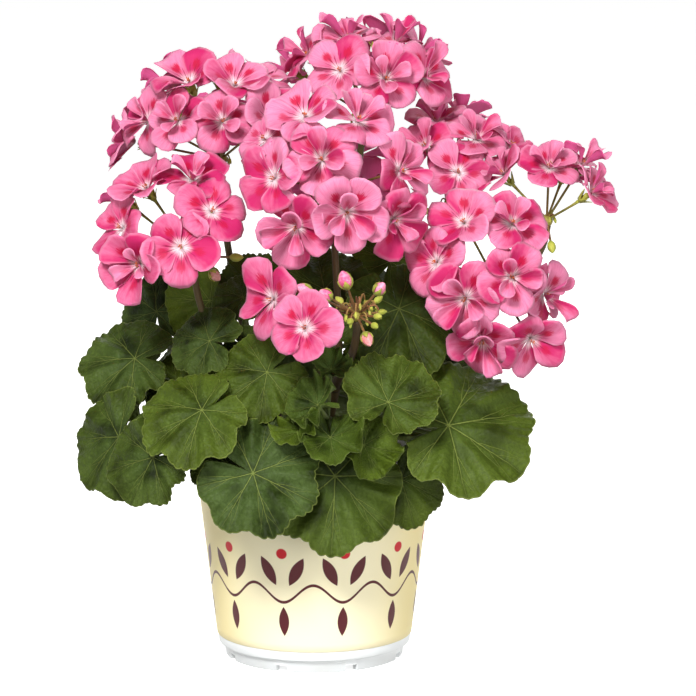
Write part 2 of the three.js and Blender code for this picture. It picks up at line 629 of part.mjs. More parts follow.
// One floret: five petals in one blade. Every petal has its own tilt, so the rim steps up and down.
function floretSolid(floret) {
  const radius = FLORET_RADIUS * floret.head.size * (0.94 + 0.12 * chance(floret.seed, 1));
  const cup = 0.1 + 0.26 * chance(floret.seed, 2);
  const pitch = 2 * Math.PI / PETALS;
  const petalOf = (a) => ((Math.round(a / pitch) % PETALS) + PETALS) % PETALS;
  const outline = (a) => {
    const off = Math.abs(a / pitch - Math.round(a / pitch)) * 72;
    if (off > 35) {
      return FLORET_NOTCH;
    }
    return off > 10 ? 0.92 : 1;
  };
  const surface = (a, u) => {
    const share = u * outline(a);
    const off = Math.abs(a / pitch - Math.round(a / pitch)) * 72;
    const own = off > 35 ? 0 : 0.2 * (chance(floret.seed, 10 + petalOf(a)) - 0.5);
    const r = share * radius;
    return new THREE.Vector3(r * Math.cos(a), r * Math.sin(a), radius * share * (cup * share + own));
  };
  const rim = [];
  for (let k = 0; k < PETALS; k += 1) {
    for (const off of [-22, 0, 22]) {
      rim.push(k * pitch + rad(off));
    }
    rim.push((k + 0.5) * pitch);
  }
  const shape = blade(surface, [], 0, rim.sort((p, q) => p - q), FLORET_THICKNESS);
  const frame = facingFrame(floret.facing, floret.spin);
  frame.setPosition(floret.at);
  return solidOf(indexed(shape.points.map((p) => p.applyMatrix4(frame)), shape.triangles));
}

// A bud: a pointed egg with five sides.
function budSolid(at, way, length) {
  const r = length * 0.32;
  const stations = [
    { at: at.clone(), r: r * 0.35 },
    { at: at.clone().addScaledVector(way, length * 0.45), r },
    { at: at.clone().addScaledVector(way, length), r: r * 0.25 },
  ];
  return tube(stations, 5);
}

// The green stalks of a head: its receptacle, one thin stalk to each floret with the calyx cup at
// its end, and the stalked buds.
function headStalks(head) {
  const centre = vec(head.at);
  const knot = new THREE.IcosahedronGeometry(RECEPTACLE_RADIUS, 0);
  knot.translate(centre.x, centre.y, centre.z);
  const solids = [solidOf(knot)];
  for (const floret of FLORETS.filter((f) => f.head === head)) {
    const way = floret.way;
    const gap = FLORET_THICKNESS / 2 * BLADE_SWELL + CLEARANCE;
    const end = floret.at.clone().addScaledVector(floret.facing, -gap);
    solids.push(tube([
      { at: centre.clone().addScaledVector(way, 0.8), r: PEDICEL_RADIUS },
      { at: end.clone().addScaledVector(floret.facing, -CALYX_LENGTH), r: PEDICEL_RADIUS },
      { at: end, r: CALYX_RADIUS },
    ], 3));
  }
  for (const [azimuth, elevation, distance, length] of head.buds) {
    const way = toward(azimuth, elevation);
    const foot = centre.clone().addScaledVector(way, distance);
    solids.push(tube([
      { at: centre.clone().addScaledVector(way, 0.8), r: PEDICEL_RADIUS * 0.9 },
      { at: foot.clone().addScaledVector(way, 0.8), r: PEDICEL_RADIUS * 0.9 },
    ], 3));
    solids.push(budSolid(foot, way, length));
  }
  return geometryOf(union(solids));
}

function headFlorets(head) {
  return geometryOf(union(FLORETS.filter((f) => f.head === head).map(floretSolid), PETAL_TOLERANCE));
}

// The stems: the woody crown, the shoots, every leaf's stalk and the long stalk of every head.
function makeStems() {
  const crown = new THREE.CylinderGeometry(CROWN_RADIUS - 1, CROWN_RADIUS, CROWN_TOP - CROWN_FOOT, 10);
  crown.rotateX(Math.PI / 2);
  crown.translate(0, 0, (CROWN_TOP + CROWN_FOOT) / 2);
  const solids = [solidOf(crown)];
  const curves = SHOOTS.map((points) => new THREE.CatmullRomCurve3(points.map(vec)));
  curves.forEach((curve) => {
    const stations = [0, 0.25, 0.5, 0.75, 1].map((t) => {
      return { at: curve.getPoint(t), r: mix(SHOOT_RADIUS, SHOOT_TIP_RADIUS, t) };
    });
    solids.push(tube(stations, 6));
  });
  for (const leaf of LEAVES) {
    const normal = toward(leaf.azimuth, leaf.elevation);
    const gap = LEAF_THICKNESS / 2 * BLADE_SWELL + 2 * CLEARANCE;
    const end = vec(leaf.at).addScaledVector(normal, -gap);
    const start = curves[leaf.shoot].getPoint(leaf.from);
    const span = start.distanceTo(end);
    const out = end.clone().sub(start).normalize();
    out.z = Math.max(out.z, 0) + 0.5;
    out.normalize();
    const stations = bezierStations(
      start,
      start.clone().addScaledVector(out, span * 0.4),
      end.clone().addScaledVector(normal, -span * 0.28),
      end,
      3,
      PETIOLE_RADIUS * 1.25,
      PETIOLE_RADIUS * 0.8,
    );
    solids.push(tube(stations, 4));
  }
  for (const head of HEADS) {
    const start = curves[head.shoot].getPoint(1);
    const below = curves[head.shoot].getPoint(0.9);
    const rise = start.clone().sub(below).normalize();
    const end = vec(head.at);
    end.z -= RECEPTACLE_RADIUS * ICOSAHEDRON_REACH + 2 * CLEARANCE;
    const span = start.distanceTo(end);
    const stations = bezierStations(
      start.clone().addScaledVector(rise, -2),
      start.clone().addScaledVector(rise, span * 0.3),
      end.clone().add(new THREE.Vector3(0, 0, -span * 0.4)),
      end,
      3,
      PEDUNCLE_RADIUS,
      PEDUNCLE_RADIUS * 0.85,
    );
    solids.push(tube(stations, 5));
  }
  return geometryOf(union(solids));
}

// Materials and the scene graph.

const plastic = new THREE.MeshStandardMaterial({ color: '#f9f1c6', roughness: 0.35, metalness: 0 });
const peat = new THREE.MeshStandardMaterial({ color: '#2a1d14', roughness: 1, metalness: 0 });
const bark = new THREE.MeshStandardMaterial({ color: '#5d6b35', roughness: 0.7, metalness: 0 });
const foliage = new THREE.MeshStandardMaterial({ color: '#47602a', roughness: 0.65, metalness: 0 });
const sprig = new THREE.MeshStandardMaterial({ color: '#8a7f3c', roughness: 0.6, metalness: 0 });
const petal = new THREE.MeshStandardMaterial({ color: '#ef7fb0', roughness: 0.6, metalness: 0 });

const plant = new THREE.Group();

function addPiece(name, geometry, material) {
  const mesh = new THREE.Mesh(geometry, material);
  mesh.name = name;
  plant.add(mesh);
}

addPiece('pot', makePot(), plastic);
addPiece('soil', makeSoil(), peat);
addPiece('stems', makeStems(), bark);
for (const leaf of LEAVES) {
  addPiece(leaf.name, leafBlade(leaf), foliage);
}
addPiece('young_shoot', youngShoot(), foliage);
for (const head of HEADS) {
  addPiece(`stalks_${head.name}`, headStalks(head), sprig);
  addPiece(`florets_${head.name}`, headFlorets(head), petal);
}

export default plant;
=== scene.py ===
# %% [markdown]
# # A potted zonal geranium
#
# A zonal geranium is a soft shrub. Woody shoots carry round, scalloped leaves on thin stalks, and
# domed heads of five-petalled florets stand above them on long bare stalks. It grows in a tapered
# plastic pot with a printed sleeve. The packed model gives every piece its place. This scene keeps
# those places and makes the fine surfaces: each blade, petal, stalk and bud is a function of two
# parameters, worked out with numpy on a grid.

import bpy
import numpy as np
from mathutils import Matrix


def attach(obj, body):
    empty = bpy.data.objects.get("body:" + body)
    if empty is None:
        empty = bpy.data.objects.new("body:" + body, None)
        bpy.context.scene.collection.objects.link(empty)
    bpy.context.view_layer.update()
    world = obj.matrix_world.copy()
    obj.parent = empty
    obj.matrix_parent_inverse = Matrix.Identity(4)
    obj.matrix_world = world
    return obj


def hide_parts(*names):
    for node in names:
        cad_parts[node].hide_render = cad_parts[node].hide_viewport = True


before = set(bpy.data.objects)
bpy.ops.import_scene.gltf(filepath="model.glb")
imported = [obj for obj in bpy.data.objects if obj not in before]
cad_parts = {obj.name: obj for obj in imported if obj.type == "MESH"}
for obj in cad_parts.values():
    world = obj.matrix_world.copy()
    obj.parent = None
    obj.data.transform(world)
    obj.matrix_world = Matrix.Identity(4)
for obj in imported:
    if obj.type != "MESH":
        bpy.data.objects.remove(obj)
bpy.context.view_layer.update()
MM = 0.001

# %% [markdown]
# ## Camera and light
#
# The plant was photographed from a little above, with a long lens, in soft light from the front and
# the upper left. A long lens far away keeps the pot's sides nearly parallel. Large area lights give
# soft edges to the shadows between the leaves, and a bright world fills them.

# %% Camera
CAMERA_DISTANCE = 1.8
CAMERA_PITCH = np.radians(8.7)
CAMERA_AIM = np.array([0.0188, 0.0, 0.172])
CAMERA_LENS = 168.4


def put(name, data):
    """A new object in the scene."""
    made = bpy.data.objects.new(name, data)
    bpy.context.scene.collection.objects.link(made)
    return made


camera_data = bpy.data.cameras.new("camera")
camera_data.lens = CAMERA_LENS
camera_data.sensor_width = 36.0
camera = put("camera", camera_data)
back = np.array([0.0, -np.cos(CAMERA_PITCH), np.sin(CAMERA_PITCH)])
camera.location = CAMERA_AIM + CAMERA_DISTANCE * back
camera.rotation_euler = (np.pi / 2 - CAMERA_PITCH, 0.0, 0.0)
bpy.context.scene.camera = camera
bpy.context.scene.view_settings.view_transform = "Standard"
print("camera at", [round(v, 3) for v in camera.location])

# %% World
# How bright the world is from straight down (0) to straight up (1): brightest level with the plant,
# so that petals and leaves that face the camera are filled.
WORLD_RINGS = [(0.0, 0.16), (0.42, 0.5), (0.485, 1.0), (0.55, 1.0), (0.64, 0.42), (1.0, 0.3)]
WORLD_STRENGTH = 1.02

world = bpy.data.worlds.new("studio")
bpy.context.scene.world = world
world.use_nodes = True
world_nodes, world_links = world.node_tree.nodes, world.node_tree.links
way = world_nodes.new("ShaderNodeTexCoord")
height = world_nodes.new("ShaderNodeSeparateXYZ")
share = world_nodes.new("ShaderNodeMapRange")
rings = world_nodes.new("ShaderNodeValToRGB")
share.inputs["From Min"].default_value = -1.0
stops = rings.color_ramp.elements
for n, (place, glow) in enumerate(WORLD_RINGS):
    stop = stops[n] if n < 2 else stops.new(place)
    stop.position = place
    stop.color = (glow, glow, glow, 1.0)
world_links.new(way.outputs["Generated"], height.inputs[0])
world_links.new(height.outputs["Z"], share.inputs["Value"])
world_links.new(share.outputs[0], rings.inputs[0])
world_links.new(rings.outputs["Color"], world_nodes["Background"].inputs["Color"])
world_nodes["Background"].inputs["Strength"].default_value = WORLD_STRENGTH
print("world rings:", len(stops))

# %% Lights
SOFTBOXES = [
    # name, place, width, watts
    ("key", (-0.45, -1.5, 1.35), 0.5, 48.0),
    ("fill", (1.0, -1.8, 0.25), 1.2, 25.0),
    ("rim", (0.4, 1.5, 1.3), 1.0, 18.0),
]
LIT_PLACE = np.array([0.0, 0.0, 0.2])


def add_softbox(name, place, size, watts):
    """A square area light at a place, turned to the middle of the plant."""
    data = bpy.data.lights.new(name, "AREA")
    data.shape = "SQUARE"
    data.size = size
    data.energy = watts
    lamp = put(name, data)
    lamp.location = place
    x, y, z = LIT_PLACE - np.array(place)
    lamp.rotation_euler = (np.arctan2(np.hypot(x, y), -z), 0.0, np.arctan2(x, -y) + np.pi)


for row in SOFTBOXES:
    add_softbox(*row)

# %% [markdown]
# ## Shader sums
#
# Surface patterns are easier to read as sums than as boxes and wires. `Number` wraps a socket that
# carries one number, so that `1 - mask` or `a * b` adds the Math node it needs. `Finish` makes any
# other node in one call.


# %% Number
def operator(operation, reflected=False):
    """An operator that adds one Math node; a reflected one has the wrapped number on its right."""
    def method(self, *others):
        values = (*others, self) if reflected else (self, *others)
        return self.finish.node("ShaderNodeMath", {"operation": operation}, *values)
    return method


class Number:
    """A shader socket that carries one number; its operators add Math nodes."""

    def __init__(self, finish, socket):
        self.finish = finish
        self.socket = socket

    __add__, __radd__ = operator("ADD"), operator("ADD", reflected=True)
    __sub__, __rsub__ = operator("SUBTRACT"), operator("SUBTRACT", reflected=True)
    __mul__, __rmul__ = operator("MULTIPLY"), operator("MULTIPLY", reflected=True)
    __truediv__, __rtruediv__ = operator("DIVIDE"), operator("DIVIDE", reflected=True)
    __abs__ = operator("ABSOLUTE")

    def call(self, operation, *others):
        """Any other Math operation, such as SINE or ARCTAN2."""
        return operator(operation)(self, *others)

    def ramp(self, low, high):
        """0 below low, 1 above high, and smooth between them; low may be the larger one."""
        settings = {"interpolation_type": "SMOOTHSTEP"}
        return self.finish.node("ShaderNodeMapRange", settings, self, low, high, 0.0, 1.0)


print("operators:", [name for name in vars(Number) if name.startswith("__r")])


# %% Finish
class Finish:
    """A node material under a plain name, with one method for any node."""

    def __init__(self, name):
        self.material = bpy.data.materials.new(name)
        self.material.use_nodes = True
        self.tree = self.material.node_tree
        self.tree.nodes.clear()
        self.output = self.tree.nodes.new("ShaderNodeOutputMaterial")

    def node(self, kind, settings, *values, pick=0, **named):
        """Adds a node, applies its settings first, then fills its sockets in order and by name."""
        node = self.tree.nodes.new(kind)
        for key, value in settings.items():
            setattr(node, key, value)
        for socket, value in zip(node.inputs, values):
            self._fill(socket, value)
        for key, value in named.items():
            self._fill(node.inputs[key.replace("_", " ")], value)
        return Number(self, node.outputs[pick])

    def _fill(self, socket, value):
        if value is None:
            return
        if isinstance(value, Number):
            self.tree.links.new(value.socket, socket)
        else:
            socket.default_value = value

    def attribute(self, name, pick):
        """A named value of the mesh: pick is Color, Vector, Fac or Alpha."""
        return self.node("ShaderNodeAttribute", {"attribute_name": name}, pick=pick)

    def split(self, vector):
        """The three numbers of a vector."""
        first = self.node("ShaderNodeSeparateXYZ", {}, vector)
        return [Number(self, out) for out in first.socket.node.outputs]

    def join(self, x, y, z):
        """A vector from three numbers."""
        return self.node("ShaderNodeCombineXYZ", {}, x, y, z)

    def place(self):
        """Where a point lies on the object, in metres."""
        return self.node("ShaderNodeTexCoord", {}, pick="Object")

    def noise(self, vector, scale, detail=2.0, roughness=0.5):
        """Soft noise from 0 to 1."""
        return self.node("ShaderNodeTexNoise", {}, vector, None, scale, detail, roughness)

    def mix(self, factor, first, second, blend="MIX"):
        """A colour between two colours, which are sockets 6 and 7 of the Mix node."""
        settings = {"data_type": "RGBA", "blend_type": blend}
        return self.node("ShaderNodeMix", settings, factor, *[None] * 5, first, second, pick=2)

    def bump(self, height, strength, distance):
        """A normal from a height; strength and distance are plain numbers."""
        return self.node("ShaderNodeBump", {}, Strength=strength, Distance=distance, Height=height)

    def scaled(self, ground, value):
        """A colour times one number."""
        return self.mix(1.0, ground, self.join(value, value, value), blend="MULTIPLY")

    def done(self, thin_colour=None, thin_share=0.0, **named):
        """Ends in a Principled shader; a thin blade also lets a share of the light through."""
        shader = self.node("ShaderNodeBsdfPrincipled", {}, **named)
        if thin_colour is not None:
            through = self.node("ShaderNodeBsdfTranslucent", {}, Color=thin_colour)
            shader = self.node("ShaderNodeMixShader", {}, thin_share, shader, through)
        self.tree.links.new(shader.socket, self.output.inputs["Surface"])
        return self.material


print("ways to add a node:", [name for name in vars(Finish) if not name.startswith("_")])


# %% Colours
def colour(text):
    """A linear colour from a screen colour such as 'f07fae'."""
    parts = np.array([int(text[i:i + 2], 16) for i in (0, 2, 4)]) / 255.0
    linear = np.where(parts <= 0.04045, parts / 12.92, ((parts + 0.055) / 1.055) ** 2.4)
    return (*linear.tolist(), 1.0)


print("pink is", colour("f07fae"))

# %% [markdown]
# ## Meshes from arrays
#
# A surface on a grid is a stack of rows of points. A blade is closed: it has a face, a back and a
# narrow edge between them. `Bundle` collects such surfaces as arrays and turns them into one mesh,
# with the values that the materials read.


# %% Bundle
class Bundle:
    """Collects points, faces and per-point values, and makes one mesh of them."""

    def __init__(self):
        self.points, self.quads, self.triangles, self.flat = [], [], [], []
        self.places, self.tones = [], []
        self.count = 0

    def add(self, points, quads=(), triangles=(), flat=False, place=0.0, tone=0.0):
        """Points in millimetres; place and tone are three and four numbers a point."""
        points = np.asarray(points, float).reshape(-1, 3)
        quads = np.asarray(quads, int).reshape(-1, 4)
        self.points.append(points)
        self.quads.append(quads + self.count)
        self.triangles.append(np.asarray(triangles, int).reshape(-1, 3) + self.count)
        self.flat.append(np.broadcast_to(flat, len(quads)))
        self.places.append(np.broadcast_to(place, (len(points), 3)))
        self.tones.append(np.broadcast_to(tone, (len(points), 4)))
        self.count += len(points)

    def piece(self, name, material, slot, *nodes):
        """Makes the object, lets it ride on the plant's body and replaces the solids it stands for."""
        points = np.concatenate(self.points) * MM
        quads = np.concatenate(self.quads)
        triangles = np.concatenate(self.triangles)
        flat = np.concatenate([np.concatenate(self.flat), np.zeros(len(triangles), bool)])
        mesh = bpy.data.meshes.new(name)
        mesh.vertices.add(len(points))
        mesh.vertices.foreach_set("co", points.ravel())
        corners = np.concatenate([quads.ravel(), triangles.ravel()])
        mesh.loops.add(len(corners))
        mesh.loops.foreach_set("vertex_index", corners)
        mesh.polygons.add(len(quads) + len(triangles))
        quad_starts = 4 * np.arange(len(quads))
        triangle_starts = 4 * len(quads) + 3 * np.arange(len(triangles))
        mesh.polygons.foreach_set("loop_start", np.concatenate([quad_starts, triangle_starts]))
        mesh.polygons.foreach_set("use_smooth", ~flat)
        mesh.update(calc_edges=True)
        for label, kind, key, rows in (
            ("place", "FLOAT_VECTOR", "vector", self.places),
            ("tone", "FLOAT_COLOR", "color", self.tones),
        ):
            layer = mesh.attributes.new(label, kind, "POINT")
            layer.data.foreach_set(key, np.concatenate(rows).astype(float).ravel())
        mesh.materials.append(material)
        made = put(name, mesh)
        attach(made, "root")
        if nodes:
            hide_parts(*nodes)
        self.faces = len(quads) * 2 + len(triangles)
        return made


print("an empty bundle holds", Bundle().count, "points")


# %% Grids and sheets
def grid_quads(rows, columns, wrap):
    """Quads of a grid of points; with wrap, the last column joins the first."""
    last = columns if wrap else columns - 1
    i, j = np.meshgrid(np.arange(rows - 1), np.arange(last), indexing="ij")
    k = (j + 1) % columns
    corners = [i * columns + j, i * columns + k, (i + 1) * columns + k, (i + 1) * columns + j]
    return np.stack(corners, axis=-1).reshape(-1, 4)


def sheet_faces(rows, columns):
    """Quads of a thin closed sheet: a face grid, a back grid after it, and the edge between them.

    The second value marks the quads of the edge, which are shaded flat."""
    face = grid_quads(rows, columns, wrap=False)
    size = rows * columns
    back = face[:, ::-1] + size
    first, last = np.arange(columns), (rows - 1) * columns + np.arange(columns)
    left, right = np.arange(rows) * columns, np.arange(rows) * columns + columns - 1
    ring = np.concatenate([first, right[1:], last[-2::-1], left[-2:0:-1]])
    turned = np.roll(ring, -1)
    edge = np.stack([turned, ring, ring + size, turned + size], axis=-1)
    quads = np.concatenate([face, back, edge])
    flat = np.arange(len(quads)) >= 2 * len(face)
    return quads, flat


def two_faced(tone, size):
    """The tone of a blade's points: three numbers, then 1 on its face and 0 on its back."""
    tones = np.tile(np.array([*tone, 1.0]), (2 * size, 1))
    tones[size:, 3] = 0.0
    return tones


print("a sheet of 3 by 4 points has", len(sheet_faces(3, 4)[0]), "quads")


# %% Tubes
def unit(vectors):
    """Vectors along the last axis, scaled to length 1."""
    return vectors / np.linalg.norm(vectors, axis=-1, keepdims=True)


def circle(across, other, sides):
    """Points round a unit circle between two directions, or one circle for each row of them."""
    turn = 2 * np.pi * np.arange(sides)[:, None] / sides
    return np.cos(turn) * across[..., None, :] + np.sin(turn) * other[..., None, :]


def tube_rows(path, radius, sides):
    """Rings of points round a path: each ring stands across the path's direction at its radius.

    The sideways direction is carried along from ring to ring, so the tube doesn't twist."""
    path = np.asarray(path, float)
    along = unit(np.gradient(path, axis=0))
    across = np.zeros_like(path)
    guide = np.array([0.31, 0.87, 0.38])
    for n, way in enumerate(along):
        guide = unit(guide - way * guide.dot(way))
        across[n] = guide
    radius = np.broadcast_to(radius, len(path))[:, None, None]
    return path[:, None, :] + radius * circle(across, np.cross(along, across), sides)


def closed_rings(rows, first, last):
    """Points, quads and triangles of rings whose two ends are closed by fans round an end point."""
    count, sides = rows.shape[:2]
    points = np.concatenate([rows.reshape(-1, 3), [first], [last]])
    j = np.arange(sides)
    k = (j + 1) % sides
    hub, top = count * sides, (count - 1) * sides
    start = np.stack([np.full(sides, hub), k, j], axis=-1)
    end = np.stack([np.full(sides, hub + 1), top + j, top + k], axis=-1)
    return points, grid_quads(count, sides, wrap=True), np.concatenate([start, end])


def add_rings(bundle, rows, first, last, along, tone, pink=0.0):
    """Closed rings whose place holds the share along them and how pink they are."""
    points, quads, triangles = closed_rings(rows, first, last)
    place = np.zeros((len(points), 3))
    place[:, 0] = np.concatenate([np.repeat(along, rows.shape[1]), [0.0, 1.0]])
    place[:, 1] = pink
    bundle.add(points, quads, triangles, place=place, tone=tone)


def add_tube(bundle, path, radius, sides, tone=0.0):
    """A tube with both ends closed, as one closed surface."""
    rows = tube_rows(path, radius, sides)
    add_rings(bundle, rows, path[0], path[-1], np.linspace(0, 1, len(rows)), tone)


print("a square's corners:", circle(*np.eye(3)[:2], 4).round(1).tolist())

# %% [markdown]
# ## Directions
#
# Every leaf and floret looks somewhere. Its direction is an azimuth, counted from the front, and an
# elevation. Its spin says where its tip lies: straight down at 0, to the right at 90.


# %% Directions and chance
def chance(i, k):
    """A repeatable number from 0 to 1 for the counters i and k: the fraction of a large sine."""
    s = np.sin(np.asarray(i) * 12.9898 + np.asarray(k) * 78.233) * 43758.5453
    return s - np.floor(s)


def toward(azimuth, elevation):
    """Unit vector that looks to an azimuth, 0 at the front and 90 at +X, and an elevation."""
    a, e = np.radians(azimuth), np.radians(elevation)
    return np.array([np.sin(a) * np.cos(e), -np.cos(a) * np.cos(e), np.sin(e)])


def facing_axes(facing, spin):
    """Three axes in rows: z faces out, x runs down the slope turned by spin, y is z cross x."""
    z = unit(np.asarray(facing, float))
    down = unit(np.array([0.0, 0.0, -1.0]) + z * z[2])
    side = np.cross(z, down)
    x = down * np.cos(np.radians(spin)) + side * np.sin(np.radians(spin))
    return np.array([x, np.cross(z, x), z])


def spun(points, angle):
    """Points turned round the z axis."""
    c, s = np.cos(angle), np.sin(angle)
    return points @ np.array([[c, s, 0], [-s, c, 0], [0, 0, 1]])


def smooth(value, low, high):
    """0 below low, 1 above high, and smooth between them."""
    t = np.clip((value - low) / (high - low), 0.0, 1.0)
    return t * t * (3 - 2 * t)


def bezier(p0, p1, p2, p3, steps):
    """Points on a cubic Bezier curve: four control points weighted by (1-t) and t."""
    t = np.linspace(0, 1, steps)[:, None]
    return (1 - t) ** 3 * p0 + 3 * t * (1 - t) ** 2 * p1 + 3 * t * t * (1 - t) * p2 + t ** 3 * p3


print("front, lifted by 30 degrees:", np.round(toward(0, 30), 3))

# %% [markdown]
# ## Shoots
#
# Six shoots rise from the woody crown. Each is a smooth curve through four points. Leaf stalks leave
# it at a share of its length, so the curve has to be the same one that the solids follow: a
# Catmull-Rom curve whose steps go with the square root of the distance between its points.

# %% Shoots
SHOOTS = np.array([
    [[-4, -3, 98], [-13, -11, 118], [-29, -23, 146], [-45, -35, 170]],
    [[-4, 2, 98], [-17, 8, 122], [-32, 12, 155], [-40, 12, 188]],
    [[1, -5, 98], [4, -17, 116], [8, -32, 138], [12, -46, 158]],
    [[4, -2, 98], [17, -8, 118], [33, -15, 142], [46, -20, 160]],
    [[4, 3, 98], [18, 11, 122], [38, 20, 150], [52, 24, 176]],
    [[0, 5, 98], [1, 19, 122], [3, 36, 156], [5, 46, 188]],
], dtype=float)


def on_shoot(shoot, share):
    """The point at a share of a shoot: cubic pieces whose end slopes follow the neighbouring points."""
    points = SHOOTS[shoot]
    points = np.concatenate([[2 * points[0] - points[1]], points, [2 * points[3] - points[2]]])
    place = np.clip(share, 0, 1) * 3
    piece = min(int(place), 2)
    t = place - piece
    a, b, c, d = points[piece:piece + 4]
    step = [np.linalg.norm(q - p) ** 0.5 for p, q in ((a, b), (b, c), (c, d))]
    slope_b = ((b - a) / step[0] - (c - a) / (step[0] + step[1]) + (c - b) / step[1]) * step[1]
    slope_c = ((c - b) / step[1] - (d - b) / (step[1] + step[2]) + (d - c) / step[2]) * step[1]
    bend = -3 * b + 3 * c - 2 * slope_b - slope_c
    lift = 2 * b - 2 * c + slope_b + slope_c
    return b + slope_b * t + bend * t * t + lift * t ** 3


print("shoot tops:", [on_shoot(n, 1.0).round(0).tolist() for n in range(len(SHOOTS))])

# %% [markdown]
# ## The leaves
#
# A zonal geranium's leaf is round, with seven shallow lobes, a narrow slit where the stalk comes in,
# and about six rounded teeth on each lobe. It is built on polar rows, from the junction out to the
# rim, once for the upper face and once for the lower one. The same height formula as in the solids
# bends it, so that neighbours stay clear, and a fine relief is added: sunken veins and a crimped rim.

# %% Leaf tables
LEAF_PLACES = [
    # at, tip radius, azimuth, elevation, spin, heel, cup, fold, droop, wave, shoot, share of the shoot
    ((-58, -92, 153), 36, -20, 44, -50, 0.62, -0.1, -0.1, -0.05, 0.03, 0, 0.45),
    ((-31, -101, 121), 37, -2, 24, 65, 0.78, -0.06, -0.06, -0.06, 0.03, 0, 0.22),
    ((12, -89, 117), 43, 5, 16, -4, 0.6, -0.05, -0.16, -0.05, 0.03, 2, 0.24),
    ((-24, -79, 171), 29, -2, 32, -55, 0.72, -0.14, -0.1, -0.06, 0.04, 2, 0.72),
    ((-55, -61, 185), 25, -26, 34, -100, 0.66, -0.12, -0.12, -0.06, 0.03, 0, 0.8),
    ((-57, -12, 200), 28, -34, 18, -40, 0.6, 0.06, 0.2, -0.05, 0.03, 1, 0.8),
    ((-87, 1, 192), 25, -14, 24, -170, 0.66, -0.1, -0.3, -0.1, 0.04, 1, 0.62),
    ((-97, -32, 171), 34, -18, 44, -86, 0.62, -0.12, -0.1, -0.08, 0.03, 1, 0.45),
    ((-103.5, -66, 134), 35, -40, 20, -35, 0.75, -0.08, -0.08, -0.06, 0.03, 1, 0.25),
    ((-84, -88, 127), 30, -24, 22, -72, 0.6, -0.1, -0.12, -0.1, 0.04, 0, 0.32),
    ((-46, -76, 122), 22, -14, 34, -20, 0.66, -0.1, 0.1, -0.1, 0.05, 0, 0.12),
    ((40, -97, 158), 30, 10, 42, 150, 0.7, 0.1, 0.06, -0.06, 0.05, 3, 0.62),
    ((72, -82, 143), 49, 12, 40, 100, 0.64, -0.06, -0.1, -0.06, 0.03, 3, 0.45),
    ((47, -76, 113), 28, 16, 12, 15, 0.66, -0.06, -0.1, -0.08, 0.04, 3, 0.3),
    ((90, -46, 132), 28, 36, 20, 50, 0.66, -0.1, -0.1, -0.1, 0.04, 4, 0.2),
    ((46, -58, 202), 40, 8, 30, 20, 0.66, -0.08, -0.1, -0.06, 0.03, 3, 0.9),
    ((70, -52.5, 166.5), 26, 26, 30, 60, 0.66, -0.08, -0.1, -0.08, 0.04, 3, 0.75),
    ((6, -32, 209), 30, -8, 44, -165, 0.66, -0.06, 0.06, -0.06, 0.04, 2, 0.92),
    ((-33, -14, 208), 22, -10, 38, 170, 0.66, 0.04, 0.1, -0.04, 0.05, 1, 0.95),
    ((-38, -34, 205), 20, -22, 48, -60, 0.66, -0.06, -0.06, -0.06, 0.05, 0, 0.92),
    ((-98, -8, 154), 28, -70, 28, -50, 0.66, -0.1, -0.1, -0.1, 0.04, 1, 0.35),
]
BACK_TIERS = [
    # azimuths, height, distance out, radius, elevation, share of the shoot
    ([88, 118, 150, 184, 220, 256], 130, 78, 37, 26, 0.3),
    ([106, 146, 190, 238], 164, 76, 33, 34, 0.62),
    ([134, 200, 229], 206, 50, 28, 46, 0.88),
]
BACK_STAGGER = 11
INNER_PLACES = [
    # the last leaves stand deep in the plant and close the view between those of the front
    ((-74, -28, 155), 28, -22, 26, 60, 0.66, -0.06, -0.08, -0.06, 0.03, 1, 0.5),
    ((42, -14, 222), 27, 4, 26, 150, 0.66, -0.06, -0.08, -0.06, 0.03, 3, 0.97),
    ((30, -50, 178), 20, 0, 24, 60, 0.66, -0.06, -0.08, -0.06, 0.03, 3, 0.7),
    ((-37, -54, 182), 17, -2, 42, 60, 0.66, -0.06, -0.08, -0.06, 0.03, 1, 0.62),
]
LEAF_KEYS = "at radius azimuth elevation spin heel cup fold droop wave shoot share".split()


def nearest_shoot(azimuth):
    """The shoot whose top lies most nearly in a direction."""
    tops = unit(SHOOTS[:, 3] * [1, 1, 0])
    return int(np.argmax(tops @ toward(azimuth, 0)))


def back_rows():
    """Rows for the back of the plant: tiers of leaves, every other one standing further out."""
    rows = []
    for azimuths, height, out, radius, elevation, share in BACK_TIERS:
        for k, azimuth in enumerate(azimuths):
            n = 24 + len(rows)
            way = toward(azimuth, 0) * (out + BACK_STAGGER * (k % 2))
            at = (way[0], way[1] + 4, height + 8 * (chance(n, 5) - 0.5))
            facing = (azimuth + 10 * (chance(n, 7) - 0.5), elevation + 10 * (chance(n, 8) - 0.5))
            form = (60 * (chance(n, 9) - 0.5), 0.64, -0.1, -0.1, -0.08, 0.03)
            size = radius * (0.92 + 0.16 * chance(n, 6))
            rows.append((at, size, *facing, *form, nearest_shoot(azimuth), share + 0.1 * (k % 3)))
    return rows


LEAF_ROWS = LEAF_PLACES + back_rows() + INNER_PLACES
LEAVES = [dict(zip(LEAF_KEYS, row), seed=n + 1) for n, row in enumerate(LEAF_ROWS)]
print("leaves:", len(LEAVES))

# %% Leaf outline
LOBE_PITCH = np.radians(47)
LOBE_DEPTH = 0.1
LEAF_SINUS = 0.12
LEAF_SLIT = np.radians(14)
TEETH_PER_LOBE = 6
TOOTH_DEPTH = 0.034


